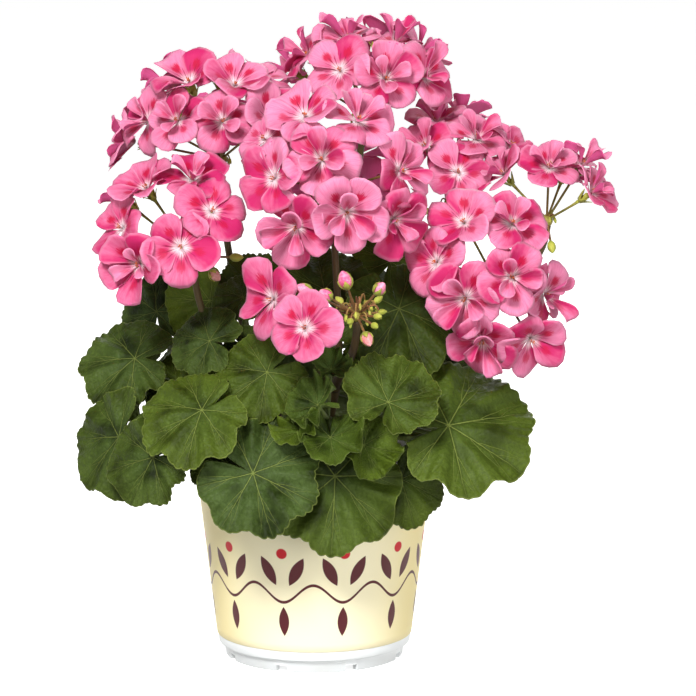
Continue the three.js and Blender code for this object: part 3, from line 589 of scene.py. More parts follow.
def leaf_outline(a, heel):
    """Share of the tip radius in a direction: a round that narrows to the heel, with a notch between
    lobes as a high power of a sine, and a slit behind the junction."""
    body = 1 - (1 - heel) * np.minimum(1, np.abs(a) / np.pi / 0.9) ** 1.7
    lobes = 1 - LOBE_DEPTH * np.abs(np.sin(np.pi * a / LOBE_PITCH)) ** 4
    slit = smooth(np.pi - np.abs(a), 0, LEAF_SLIT)
    return body * lobes * (LEAF_SINUS / heel + (1 - LEAF_SINUS / heel) * slit)


def leaf_teeth(a, seed):
    """Round teeth with sharp notches: one minus a depth times the gap below a bent cosine."""
    wander = 0.3 * np.sin(2.3 * a + 6.28 * chance(seed, 21))
    arch = np.abs(np.cos(np.pi * TEETH_PER_LOBE * a / LOBE_PITCH + wander)) ** 0.7
    return 1 - TOOTH_DEPTH * (0.75 + 0.5 * np.sin(1.7 * a + seed)) * (1 - arch)


print("outline at the tip, a valley and the heel:", leaf_outline(np.radians([0, 23.5, 160]), 0.65).round(3))

# %% Leaf relief
LEAF_PLEAT = 0.065
# Where a side vein leaves its main vein, and how fast it moves away from it.
VEIN_FORKS = [(0.3, 0.3), (0.55, 0.42)]


def leaf_height(a, share, leaf):
    """Height over the junction's plane, in tip radii: bowl, fold, droop, pleat, wave and twist."""
    x, y = share * np.cos(a), share * np.sin(a)
    phase = 6.28 * chance(leaf["seed"], 1)
    height = leaf["cup"] * share ** 2 + leaf["fold"] * (np.sqrt(y * y + 0.02) - 0.141)
    height = height + leaf["droop"] * np.maximum(0, x) ** 2
    height = height + LEAF_PLEAT * share ** 1.5 * (1 - np.cos(a * 2 * np.pi / LOBE_PITCH)) / 2
    waves = np.sin(3 * a + phase) + 0.6 * np.sin(5 * a + 2.3 * phase)
    height = height + leaf["wave"] * share ** 2 * waves
    return height + 0.1 * (chance(leaf["seed"], 2) - 0.5) * share ** 2 * np.sin(2 * a)


def leaf_relief(a, share, rim_share, leaf):
    """Fine relief in tip radii. The blade bulges between its veins: one minus a bell curve of the
    distance to the nearest main or side vein. Blisters, a crimped rim and a ruffle that grows with the
    leaf's own wave are added."""
    seed = leaf["seed"]
    turn = (a / LOBE_PITCH + 0.5) % 1 - 0.5
    off, along = np.abs(share * np.sin(turn * LOBE_PITCH)), share * np.cos(turn * LOBE_PITCH)
    gap = off
    for start, slope in VEIN_FORKS:
        before = np.maximum(0, start - along)
        gap = np.minimum(gap, np.hypot(off - (along - start) * slope, before))
    fields = 0.06 * (1 - np.exp(-(gap / 0.09) ** 2)) * smooth(share, 0.05, 0.45)
    blisters = 0.005 * np.sin(8 * share * np.pi + 3 * np.sin(a * 2 * np.pi / LOBE_PITCH + seed)) * share
    crimp = 0.012 * rim_share ** 8 * np.cos(2 * np.pi * TEETH_PER_LOBE * a / LOBE_PITCH + seed)
    ruffle = 1.2 * leaf["wave"] * rim_share ** 3 * np.sin(8 * a + 3 * np.sin(2 * a + seed) + 2.1 * seed)
    return fields + blisters + crimp + ruffle


print("tip of the first leaf over its junction, in tip radii:", leaf_height(0.0, 1.0, LEAVES[0]).round(3))

# %% Leaf blade
LEAF_THICKNESS = 0.5


def add_leaf(bundle, leaf, around, out, tone):
    """One closed blade: polar rows on the upper face, a flat edge and the same rows below."""
    u = (np.arange(1, out + 1) / out) ** 0.85
    a, u = np.meshgrid(np.linspace(-np.pi, np.pi, around, endpoint=False), u)
    share = u * (leaf_outline(a, leaf["heel"]) * leaf_teeth(a, leaf["seed"]))
    x, y = share * np.cos(a), share * np.sin(a)
    z = leaf_height(a, share, leaf) + leaf_relief(a, share, u, leaf)
    middle = np.zeros((1, 3))
    local = np.concatenate([middle, np.stack([x, y, z], axis=-1).reshape(-1, 3)]) * leaf["radius"]
    half = np.array([0.0, 0.0, LEAF_THICKNESS / 2])
    axes = facing_axes(toward(leaf["azimuth"], leaf["elevation"]), leaf["spin"])
    size = len(local)
    points = np.concatenate([local + half, local - half]) @ axes + np.array(leaf["at"], float)
    upper = grid_quads(out, around, wrap=True) + 1
    ring = 1 + (out - 1) * around + np.arange(around)
    turned = np.roll(ring, -1)
    edge = np.stack([turned, ring, ring + size, turned + size], axis=-1)
    quads = np.concatenate([upper[:, ::-1], upper + size, edge])
    j = 1 + np.arange(around)
    fan = np.stack([np.zeros(around, int), j, np.roll(j, -1)], axis=-1)
    triangles = np.concatenate([fan, fan[:, ::-1] + size])
    place = np.concatenate([middle, np.stack([x, y, u], axis=-1).reshape(-1, 3)])
    flat = np.arange(len(quads)) >= 2 * len(upper)
    bundle.add(points, quads, triangles, flat, np.tile(place, (2, 1)), two_faced(tone, size))


print("a blade is", LEAF_THICKNESS, "mm thick")

# %% [markdown]
# ### What a leaf looks like
#
# The blade is matt and downy. Seven pale veins run from the junction to the lobes and fork in their
# outer part. Between them the blade is blistered and more yellow towards the rim, with patches of a
# painted blue-grey sheen, and a painted shadow runs along both sides of each main vein. The rim
# itself is a thin pale line of hairs. The pattern is drawn in the blade's own coordinates, so every
# leaf carries its veins to its own lobes.

# %% Leaf finish
def leaf_finish(name, deep, mid, painted_sheen_grey, yellow, vein, back, thin_share):
    """Palmate veins as distances from rays and forked rays, on a mottled and downy ground,
    with a painted blue-grey sheen and a painted shadow beside the main veins.
    """
    f = Finish(name)
    x, y, u = f.split(f.attribute("place", 1))
    hue, value, seed = f.split(f.attribute("tone", 0))
    face = f.attribute("tone", 3)
    spot = f.join(x + seed * 7.0, y, seed * 3.0)
    blotch = f.noise(spot, 2.2, 3.0)
    grain = f.noise(spot, 46.0, 2.0, 0.7)
    bend = f.noise(spot, 4.0, 2.0) - 0.5

    angle = y.call("ARCTAN2", x)
    radius = (x * x + y * y).call("SQRT")
    turn = (angle + bend * 0.06) / float(LOBE_PITCH) + 0.5
    offset = (turn.call("FRACT") - 0.5) * float(LOBE_PITCH)
    along = radius * offset.call("COSINE")
    off = abs(radius * offset.call("SINE"))
    width = 0.0085 - u * 0.005
    main = 1 - (off / width).ramp(0.4, 1.5)
    forks = None
    side = offset.call("SIGN") * 0.05
    for start, slope in VEIN_FORKS:
        gone = along - side - start
        line = abs(off - gone * (slope * 1.15 - gone * 0.25)) / width
        fork = (1 - line.ramp(0.3, 1.2)) * gone.ramp(-0.01, 0.05) * (1 - gone.ramp(0.25, 0.6) * 0.7)
        forks = fork if forks is None else forks.call("MAXIMUM", fork)
    net = f.node("ShaderNodeTexVoronoi", {"feature": "DISTANCE_TO_EDGE"}, Vector=spot, Scale=12.0)
    lines = main.call("MAXIMUM", forks * 0.8) * (1 - u.ramp(0.45, 1.0) * 0.7)
    # Painted shadow: deep green along both sides of each main vein.
    painted_vein_shadow = 1 - (off / 0.035).ramp(0.0, 1.0)

    ground = f.mix(blotch.ramp(0.26, 0.66), deep, mid)
    warm = (hue * 0.8 + blotch * 0.6 + u * 0.25 - 0.2).ramp(0.3, 1.05)
    ground = f.mix(warm, ground, yellow)
    # Painted sheen: blue-grey patches, more of them on the less yellow leaves.
    ground = f.mix((1 - hue).ramp(0.25, 1.0) * blotch.ramp(0.3, 0.75) * 0.6, ground, painted_sheen_grey)
    ground = f.mix((grain - 0.5).ramp(-0.2, 0.3) * 0.36 + (1 - net.ramp(0.0, 0.3)) * 0.12, ground, deep)
    ground = f.mix(painted_vein_shadow * (1 - lines) * 0.4, ground, deep)
    ground = f.mix(lines * 0.42, ground, vein)
    ground = f.mix(u.ramp(0.978, 0.992) * 0.36, ground, vein)
    ground = f.mix(1 - face, ground, back)
    # Painted light and shade: each leaf's brightness, low on leaves in the shade of others.
    ground = f.scaled(ground, value)
    relief = net.ramp(0.0, 0.4) * 0.5 - lines * 0.7 + grain * 0.35 + blotch * 0.3
    normal = f.bump(relief, 0.8, 0.0007)
    return f.done(
        yellow, thin_share, Base_Color=ground, Roughness=0.5, Normal=normal, Specular_IOR_Level=0.1,
    )


# The fourth colour is a painted blue-grey sheen.
LEAF_FINISH = leaf_finish(
    "downy_leaf", colour("151d06"), colour("3d5017"), colour("4b5c3a"), colour("5b6b16"),
    colour("8e9a4c"), colour("63713c"), 0.08,
)
print("leaf finish nodes:", len(LEAF_FINISH.node_tree.nodes))

# %% [markdown]
# ### The leaves in place
#
# Each leaf is a piece of its own and takes the place of its solid. Leaves of the front get a finer
# grid than those behind. Every leaf has its own tone: how yellow it is, and how bright. The low
# brightness of the leaves in the shade of others is painted shade.

# %% Leaves
# Points round and rows out, for leaves of the front and for all others.
FRONT_GRID, OTHER_GRID = (260, 17), (140, 11)
# How yellow the leaves of the front are, and how bright: a low brightness is painted shade on a
# leaf that lies in the shade of others.
LEAF_TONES = {
    1: (0.45, 1.05), 2: (0.15, 1.1), 3: (0.4, 1.0), 4: (0.45, 0.95), 5: (0.3, 0.8), 6: (0.65, 0.85),
    7: (0.2, 0.75), 8: (0.3, 0.95), 9: (0.35, 0.9), 10: (0.35, 0.9), 11: (0.5, 0.8), 12: (0.4, 1.05),
    13: (0.45, 1.0), 14: (0.5, 0.75), 15: (0.5, 0.8), 16: (0.45, 0.62), 17: (0.45, 0.75),
    18: (0.5, 0.55), 19: (0.5, 0.6), 20: (0.5, 0.6),
}


def leaf_tone(seed):
    """How yellow, how bright, and a number of its own, for the leaf with this seed."""
    hue, value = LEAF_TONES.get(seed, (0.3 + 0.4 * chance(seed, 31), 0.75 + 0.25 * chance(seed, 32)))
    return hue, value, chance(seed, 33)


leaf_faces = 0
for leaf in LEAVES:
    blade = Bundle()
    grid = FRONT_GRID if leaf["seed"] <= len(LEAF_PLACES) else OTHER_GRID
    add_leaf(blade, leaf, *grid, leaf_tone(leaf["seed"]))
    number = "%02d" % leaf["seed"]
    blade.piece("blade_" + number, LEAF_FINISH, "leaves", "leaf_" + number)
    leaf_faces += blade.faces
print("leaf triangles:", leaf_faces)

# %% [markdown]
# ## Stems
#
# The crown at the soil is brown and corky. The shoots above it are green and thick, and every leaf
# stalk leaves one of them in a gentle arch. All of them are round tubes carried along curves, with a
# small knob where a stalk leaves its shoot.

# %% Stem finish
def stem_finish(name):
    """Green to brown by an attribute, with lengthwise streaks and a fine down."""
    f = Finish(name)
    wood, value, _ = f.split(f.attribute("tone", 0))
    place = f.place()
    blotch = f.noise(place, 90.0, 3.0)
    streak = f.noise(place, 700.0, 2.0)
    ground = f.mix(blotch.ramp(0.3, 0.7), colour("4f5f29"), colour("687636"))
    ground = f.mix((wood + blotch * 0.4).ramp(0.45, 0.95), ground, colour("5a4426"))
    ground = f.mix(streak * 0.35, ground, colour("35341a"))
    ground = f.scaled(ground, value)
    normal = f.bump(blotch * 0.7 + streak * 0.3, 0.4, 0.0008)
    return f.done(Base_Color=ground, Roughness=0.55, Normal=normal, Specular_IOR_Level=0.2)


STEM_FINISH = stem_finish("downy_stem")
print("stem finish nodes:", len(STEM_FINISH.node_tree.nodes))

# %% Stalk paths
RECEPTACLE_RADIUS = 3.4
# How far below the middle of its knob, or behind its blade, a stalk ends, as in the solids.
KNOT_DROP = RECEPTACLE_RADIUS * 0.851 + 0.7
LEAF_SEAT = 0.9 / 2 * 1.3 + 0.7
HEAD_SEATS = {
    "a": ((-51, 8, 276), 1),
    "b": ((-64, -43, 228.4), 0),
    "c": ((11, -52, 265), 2),
    "d": ((27, 35, 299), 5),
    "e": ((76, 35, 249), 4),
    "f": ((128, 0, 243), 4),
    "g": ((96.8, -47, 217.6), 3),
    "h": ((23.5, -85, 202.4), 2),
    "i": ((3, 81, 232), 5),
}


def petiole_path(leaf, steps):
    """From its shoot, out and a little up, and then square into the back of the blade."""
    normal = toward(leaf["azimuth"], leaf["elevation"])
    end = np.array(leaf["at"], float) - normal * LEAF_SEAT
    start = on_shoot(leaf["shoot"], leaf["share"])
    span = np.linalg.norm(end - start)
    out = (end - start) / span
    out[2] = max(out[2], 0) + 0.5
    path = bezier(start, start + unit(out) * span * 0.4, end - normal * span * 0.28, end, steps)
    return np.concatenate([path, [end + normal * (LEAF_SEAT - 0.3)]])


def peduncle_path(at, shoot, steps):
    """On from the top of its shoot, and then straight up to the head."""
    start, below = on_shoot(shoot, 1.0), on_shoot(shoot, 0.9)
    rise = unit(start - below)
    end = np.array(at, float) - [0, 0, KNOT_DROP - 0.6]
    span = np.linalg.norm(end - start)
    return bezier(start - rise * 2, start + rise * span * 0.3, end - [0, 0, span * 0.4], end, steps)


print("end of the first leaf stalk:", petiole_path(LEAVES[0], 20)[-1].round(1))

# %% Stems in place
CROWN_RADIUS, CROWN_FOOT, CROWN_RISE = 9.0, 84, 17
SHOOT_RADII = (4.2, 2.8)
PETIOLE_RADIUS = 1.35
PEDUNCLE_RADIUS = 2.1
# The young head in front, with two open florets and many buds.
OPENING_HEAD = "h"


def stalk_tone(brown, value):
    """The tone of a tube or bud: how brown and how bright it is."""
    return np.array([brown, value, 0.0, 1.0])


stems = Bundle()
crown_rows = np.linspace(0, 1, 9)
crown_path = np.stack([0 * crown_rows, 0 * crown_rows, CROWN_FOOT + CROWN_RISE * crown_rows], axis=-1)
crown_radius = CROWN_RADIUS * (1 - 0.12 * crown_rows + 0.05 * np.sin(17 * crown_rows))
crown_radius[-1] *= 0.7
add_tube(stems, crown_path, crown_radius, 28, stalk_tone(1.0, 0.9))
for number in range(len(SHOOTS)):
    share = np.linspace(0, 1, 33)
    path = np.array([on_shoot(number, s) for s in share])
    knobs = 1 + 0.08 * np.maximum(0, np.sin(share * 40 + number)) ** 6
    radius = (SHOOT_RADII[0] + (SHOOT_RADII[1] - SHOOT_RADII[0]) * share) * knobs
    add_tube(stems, path, radius, 16, stalk_tone(0.75 - 0.05 * number, 0.9))
for leaf in LEAVES:
    path = petiole_path(leaf, 20)
    t = np.linspace(0, 1, len(path))
    radius = PETIOLE_RADIUS * (1.25 - 0.45 * t + 0.5 * (1 - smooth(t, 0, 0.08)))
    add_tube(stems, path, radius, 10, stalk_tone(0.3 * chance(leaf["seed"], 41), 0.95))
for number, (name, (at, shoot)) in enumerate(HEAD_SEATS.items()):
    path = peduncle_path(at, shoot, 28)
    t = np.linspace(0, 1, len(path))
    radius = PEDUNCLE_RADIUS * (1 - 0.15 * t + 0.25 * (1 - smooth(t, 0, 0.06)) + 0.3 * smooth(t, 0.95, 1))
    brown, value, stout = 0.45 + 0.4 * chance(number, 42), 0.7, 1.0
    if name == OPENING_HEAD:
        brown, value, stout = 1.0, 0.5, 1.15
    add_tube(stems, path, radius * stout, 12, stalk_tone(brown, value))
stems.piece("shoots_and_stalks", STEM_FINISH, "stems", "stems")
print("stem triangles:", stems.faces)

# %% [markdown]
# ## The young shoot
#
# In the middle of the front a young shoot unfolds. Its small crimped leaves stand on short stalks.
# They use the same blade with a deeper bowl and more waves, and a slightly lighter green.

# %% Young shoot
YOUNG_STEM = np.array([[9, -43.5, 139], [8, -60, 142], [8, -82, 147]], dtype=float)
YOUNG_ROWS = [
    # at, tip radius, azimuth, elevation, spin, cup, fold, wave
    ((9.6, -104, 140.6), 20, 0, 42, 8, 0.3, 0.3, 0.16),
    ((3, -99, 157), 18, -30, 44, -60, 0.2, 0.3, 0.18),
    ((27, -96, 135), 20, 18, 22, 20, 0.1, 0.5, 0.16),
    ((-5, -98.5, 144.5), 17, -34, 50, -75, 0.2, 0.2, 0.16),
    ((10, -88, 174), 12, 8, 46, 170, 0.3, 0.3, 0.16),
]
YOUNG_KEYS = "at radius azimuth elevation spin cup fold wave".split()
YOUNG_GRID = (160, 13)
YOUNG_LEAVES = [
    dict(zip(YOUNG_KEYS, row), heel=0.7, droop=-0.05, seed=60 + n) for n, row in enumerate(YOUNG_ROWS)
]
# The fourth colour is a painted blue-grey sheen.
YOUNG_FINISH = leaf_finish(
    "young_leaf", colour("1a2508"), colour("405518"), colour("4e6039"), colour("5e7018"),
    colour("8e9c50"), colour("66753e"), 0.1,
)

young = Bundle()
young_stalks = Bundle()
stem_share = np.linspace(0, 1, 12)
stem_path = np.array([np.interp(stem_share, [0, 0.5, 1], YOUNG_STEM[:, k]) for k in range(3)]).T
add_tube(young_stalks, stem_path, 2.2 - 0.6 * stem_share, 12, stalk_tone(0.1, 1.0))
for leaf in YOUNG_LEAVES:
    normal = toward(leaf["azimuth"], leaf["elevation"])
    start, end = YOUNG_STEM[2] + [0, 2, -0.3], np.array(leaf["at"], float)
    knee = end - normal * 7
    path = bezier(start, start + (knee - start) * 0.6, end - normal * 8, end - normal * 0.2, 12)
    add_tube(young_stalks, path, np.linspace(1.3, 0.95, 12), 8, stalk_tone(0.05, 1.0))
    tone = (0.25 + 0.3 * chance(leaf["seed"], 1), 0.95, chance(leaf["seed"], 33))
    add_leaf(young, leaf, *YOUNG_GRID, tone)
young.piece("young_blades", YOUNG_FINISH, "leaves", "young_shoot")
young_stalks.piece("young_stalks", STEM_FINISH, "stems")
print("young shoot triangles:", young.faces + young_stalks.faces)

# %% [markdown]
# ## The pot
#
# A grow pot is blow-moulded: a thin tapered cup with a rolled rim, standing on a castellated foot
# that lets water drain away. A printed sleeve hugs it from just above the foot to just below the
# rim. One profile carried round the axis makes the cup, and cutters take out the foot's notches and
# the drain holes. The sleeve is a second, slightly larger shell with a soft edge at both ends.

# %% Pot profile
POT_SEGMENTS = 144
POT_OUTSIDE = [
    (0, 0.05), (13.6, 0.05), (14.2, 0.6), (15.5, 4.3), (16.2, 4.6), (43.9, 4.6), (44.5, 4.2), (45, 0.5),
    (45.4, 0), (49.0, 0), (49.5, 0.5), (50.2, 6.2), (50.9, 7.0), (52.9, 7.4), (53.4, 8.0), (53.9, 12.6),
    (54.6, 20), (65.1, 104.2), (65.6, 105.0), (66.7, 105.4), (67, 106.4), (66.95, 110.8), (66.4, 111.9),
    (65.6, 112), (64.8, 111.6), (64.4, 110.4), (63.4, 104), (51.8, 8.4), (50.9, 6.8), (49.6, 6.4),
    (15.2, 6.4), (14.4, 5.8), (13.4, 1.9), (12.8, 1.8), (0, 1.8),
]


def lathe(profile, segments):
    """Rows of points: each profile point (radius, height) carried round the z axis."""
    radius, height = np.array(profile, float).T[..., None, None]
    across, other, up = np.eye(3)
    return radius * circle(across, other, segments) + height * up


def close_lathe(profile, segments):
    """Points, quads and triangles of a lathe whose first and last point lie on the axis."""
    return closed_rings(lathe(profile[1:-1], segments), [0, 0, profile[0][1]], [0, 0, profile[-1][1]])


print("pot radius and height:", np.max(POT_OUTSIDE, axis=0))

# %% Foot notches and drain holes
FOOT_COUNT, FOOT_MIDDLE, NOTCH_TURN = 8, 47.6, 2
NOTCH_HALVES = (5, 3.25, 3.6)
DRAIN_COUNT, DRAIN_RADIUS, DRAIN_CIRCLE = 6, 3.4, 33.0


def cut(piece, cutters):
    """Takes the cutters out of the piece with one exact boolean and leaves a plain mesh."""
    modifier = piece.modifiers.new("cut", "BOOLEAN")
    modifier.operation = "DIFFERENCE"
    modifier.solver = "EXACT"
    modifier.object = cutters
    bpy.context.view_layer.update()
    result = bpy.data.meshes.new_from_object(piece.evaluated_get(bpy.context.evaluated_depsgraph_get()))
    piece.modifiers.clear()
    piece.data = result
    bpy.data.objects.remove(cutters)
    result.set_sharp_from_angle(angle=np.radians(38))


def pot_cutters():
    """Boxes for the foot's notches and round bars for the drain holes, as one mesh."""
    tools = Bundle()
    signs = np.array([[x, y, z] for x in (-1, 1) for y in (-1, 1) for z in (-1, 1)])
    corners = signs * NOTCH_HALVES
    sides = [[0, 1, 3, 2], [4, 6, 7, 5], [0, 4, 5, 1], [2, 3, 7, 6], [0, 2, 6, 4], [1, 5, 7, 3]]
    for number in range(FOOT_COUNT):
        turn = np.radians(360 * (number + 0.5) / FOOT_COUNT + NOTCH_TURN)
        tools.add(spun(corners + [FOOT_MIDDLE, 0, 0], turn), sides)
    for number in range(DRAIN_COUNT):
        foot = spun(np.array([DRAIN_CIRCLE, 0, 1.0]), np.radians(360 * number / DRAIN_COUNT))
        add_tube(tools, foot + np.array([[0, 0, 0], [0, 0, 5], [0, 0, 10]]), DRAIN_RADIUS, 24)
    mesh = bpy.data.meshes.new("cutters")
    faces = np.concatenate(tools.quads).tolist() + np.concatenate(tools.triangles).tolist()
    mesh.from_pydata((np.concatenate(tools.points) * MM).tolist(), [], faces)
    return put("cutters", mesh)


print("cutters:", FOOT_COUNT, "boxes and", DRAIN_COUNT, "bars")


# %% Pot shell
def plastic_finish(name):
    """White moulded plastic: nearly smooth, with a faint mould texture and dust low down."""
    f = Finish(name)
    place = f.place()
    _, _, z = f.split(place)
    cloud = f.noise(place, 40.0, 3.0)
    grain = f.noise(place, 900.0, 2.0)
    dust = (1 - z.ramp(0.0, 0.012)) * cloud.ramp(0.35, 0.75)
    ground = f.mix(cloud * 0.5, colour("eef1f1"), colour("e4e7e6"))
    ground = f.mix(dust * 0.2, ground, colour("cfcabd"))
    normal = f.bump(grain * 0.3 + cloud, 0.15, 0.0005)
    return f.done(Base_Color=ground, Roughness=cloud * 0.1 + 0.32, Normal=normal)


PLASTIC_FINISH = plastic_finish("white_plastic")
shell = Bundle()
shell.add(*close_lathe(POT_OUTSIDE, POT_SEGMENTS))
pot = shell.piece("pot_shell", PLASTIC_FINISH, "pot", "pot")
cut(pot, pot_cutters())
print("pot shell vertices:", len(pot.data.vertices))

# %% Sleeve
SLEEVE_FOOT, SLEEVE_TOP = 12.8, 104.6
SLEEVE_FOOT_RADIUS, SLEEVE_TOP_RADIUS = 54.35, 65.45


def sleeve_profile():
    """A thin closed band: up the outside, over a round edge and down inside the pot's wall."""
    t = np.linspace(0, 1, 24)
    outer = np.stack([
        SLEEVE_FOOT_RADIUS + (SLEEVE_TOP_RADIUS - SLEEVE_FOOT_RADIUS) * t,
        SLEEVE_FOOT + (SLEEVE_TOP - SLEEVE_FOOT) * t,
    ], axis=-1)
    lower = np.array([[-0.9, 0.0], [-0.25, -0.22], [0.0, 0.0]])
    upper = np.array([[-0.1, 0.2], [-0.9, 0.0]])
    return np.concatenate([outer[0] + lower[:2], outer, outer[-1] + upper])


def add_band(bundle, profile, segments):
    """A closed band round the axis: the last row of the profile joins the first."""
    rows = lathe(profile, segments)
    j = np.arange(segments)
    k = (j + 1) % segments
    last = (len(rows) - 1) * segments
    inner = np.stack([last + j, last + k, k, j], axis=-1)
    bundle.add(rows, np.concatenate([grid_quads(len(rows), segments, wrap=True), inner]))


print("sleeve rows:", len(sleeve_profile()))

# %% [markdown]
# ### The print on the sleeve
#
# The sleeve is printed in cream. Its front and back are painted nearly white as painted light, and
# its sides a yellower cream as painted shade. A garland of small leaf sprigs runs round it: a wavy
# maroon stem that carries a pair of pointed leaves in every wave, and a red berry between them.
# Angle and height round the pot are the two coordinates of the drawing, and each shape in it is a
# distance that is cut off softly.

# %% Sleeve print
SPRIG_REPEATS = 11
GARLAND_HEIGHT = 0.046
GARLAND_WAVE = 0.005
SPRIG_LEAVES = [
    # middle, tilt, half length, half width
    ((0.0078, 0.0125), 1.1, 0.0092, 0.0034),
    ((-0.0078, 0.0125), 2.04, 0.0092, 0.0034),
    ((0.0, -0.016), 1.57, 0.0086, 0.0032),
]
PRINT_RADIUS = 0.0595


def almond(u, v, centre, tilt, long, wide):
    """1 inside a pointed leaf: |across| under wide times one minus (along / long) squared."""
    x, y = u - centre[0], v - centre[1]
    c, s = float(np.cos(tilt)), float(np.sin(tilt))
    along = (x * c + y * s) / long
    across = abs(y * c - x * s) / wide
    return (1 - along * along - across).ramp(0.0, 0.12)


def sleeve_finish(name):
    """Cream print with painted light at front and back and painted shade round the sides, and a
    garland of maroon leaves and red berries.
    """
    f = Finish(name)
    place = f.place()
    x, y, z = f.split(place)
    cloud = f.noise(place, 30.0, 2.0)
    turn = x.call("ARCTAN2", y * -1.0)
    # Painted light and shade: pale cream where the sleeve faces front and back, yellower round the sides.
    front = y / (x * x + y * y).call("SQRT") * -1.0
    ground = f.mix(abs(front).ramp(0.25, 0.98), colour("f0dc92"), colour("f7eecb"))
    ground = f.mix(cloud * 0.25, ground, colour("f4e6b2"))

    cell = float(2 * np.pi / SPRIG_REPEATS)
    u = ((turn / cell).call("FRACT") - 0.5) * (cell * PRINT_RADIUS)
    wave = (turn * float(SPRIG_REPEATS)).call("COSINE") * GARLAND_WAVE
    v = z - GARLAND_HEIGHT
    ink = 1 - (abs(v - wave) / 0.0009).ramp(0.7, 1.15)
    for row in SPRIG_LEAVES:
        ink = ink.call("MAXIMUM", almond(u, v, *row))
    ground = f.mix(ink, ground, colour("4a0e14"))
    dx, dy = u / 0.003, (v - 0.0225) / 0.003
    berry = 1 - (dx * dx + dy * dy).ramp(0.75, 1.15)
    ground = f.mix(berry, ground, colour("c01522"))
    normal = f.bump(cloud, 0.1, 0.0005)
    return f.done(Base_Color=ground, Roughness=0.42, Normal=normal, Specular_IOR_Level=0.25)


SLEEVE_FINISH = sleeve_finish("printed_sleeve")
sleeve = Bundle()
add_band(sleeve, sleeve_profile(), POT_SEGMENTS)
sleeve.piece("pot_sleeve", SLEEVE_FINISH, "pot")
print("sleeve triangles:", sleeve.faces)

# %% [markdown]
# ## Potting mix
#
# Dark peat fills the pot to about 16 mm under its rim. A round, lumpy surface carries loose crumbs
# of many sizes, pressed a little into it: eight-sided specks whose corners are pulled about.

# %% Soil finish
def soil_finish(name):
    """Nearly black and crumbly, with brown fibres and pale flecks."""
    f = Finish(name)
    place = f.place()
    clod = f.noise(place, 160.0, 4.0, 0.65)
    crumb = f.noise(place, 900.0, 3.0, 0.7)
    fleck = f.noise(place, 420.0, 1.0).ramp(0.7, 0.76)
    ground = f.mix(clod.ramp(0.35, 0.65), colour("1c130d"), colour("3b291b"))
    ground = f.mix(crumb.ramp(0.5, 0.75) * 0.5, ground, colour("5a422c"))
    ground = f.mix(fleck * 0.6, ground, colour("9b8a6c"))
    normal = f.bump(clod + crumb * 0.7, 0.9, 0.002)
    return f.done(Base_Color=ground, Roughness=0.95, Normal=normal, Specular_IOR_Level=0.15)


SOIL_FINISH = soil_finish("potting_mix")
print("soil finish nodes:", len(SOIL_FINISH.node_tree.nodes))

# %% Potting mix
SOIL_PROFILE = [
    (0, 6.9), (49.0, 6.9), (51.2, 8.9), (61.4, 92.5), (58, 94.0), (53, 94.8), (48, 95.3), (42, 95.8),
    (36, 96.3), (30, 96.5), (24, 96.1), (19, 95.7), (15, 95.3), (11, 95.1), (9.5, 95.0), (0, 95.0),
]
CRUMBS = 900

soil = Bundle()
points, quads, triangles = close_lathe(SOIL_PROFILE, 72)
reach = np.hypot(points[:, 0], points[:, 1])
x, y, z = points.T
lumps = np.sin(x * 0.31 + 1.0) * np.cos(y * 0.37) + 0.6 * np.sin(x * 0.9 + y)
points[:, 2] += np.where((z > 94) & (reach > 12) & (reach < 58), lumps * 0.8, 0.0)
soil.add(points, quads, triangles)
crumb_points = np.array([[1, 0, 0], [-1, 0, 0], [0, 1, 0], [0, -1, 0], [0, 0, 1], [0, 0, -1]], float)
crumb_faces = [[0, 2, 4], [2, 1, 4], [1, 3, 4], [3, 0, 4], [2, 0, 5], [1, 2, 5], [3, 1, 5], [0, 3, 5]]
number = np.arange(CRUMBS)
radius = 11 + 46 * np.sqrt(chance(number, 51))
turn = 2 * np.pi * chance(number, 52)
size = 0.6 + 1.3 * chance(number, 53) ** 3
level = 96.0 + 0.5 * chance(number, 54)
centres = np.stack([radius * np.cos(turn), radius * np.sin(turn), level], axis=-1)
warp = 0.6 + 0.8 * chance(number[:, None] * 7 + np.arange(6)[None, :], 55)
crumbs = centres[:, None, :] + (crumb_points[None] * warp[:, :, None]) * size[:, None, None]
faces = np.array(crumb_faces)[None] + 6 * number[:, None, None]
soil.add(crumbs, triangles=faces)
soil.piece("potting_mix", SOIL_FINISH, "soil", "soil")
print("soil triangles:", soil.faces)

# %% [markdown]
# ## Flower heads
#
# A head is a dome of florets on thin stalks that leave one knob. Which way each floret looks comes
# from the same rule as the solids: the ones seen from the front are listed, they slide apart until
# none crowds its neighbours, and a golden spiral fills the rest of the dome.

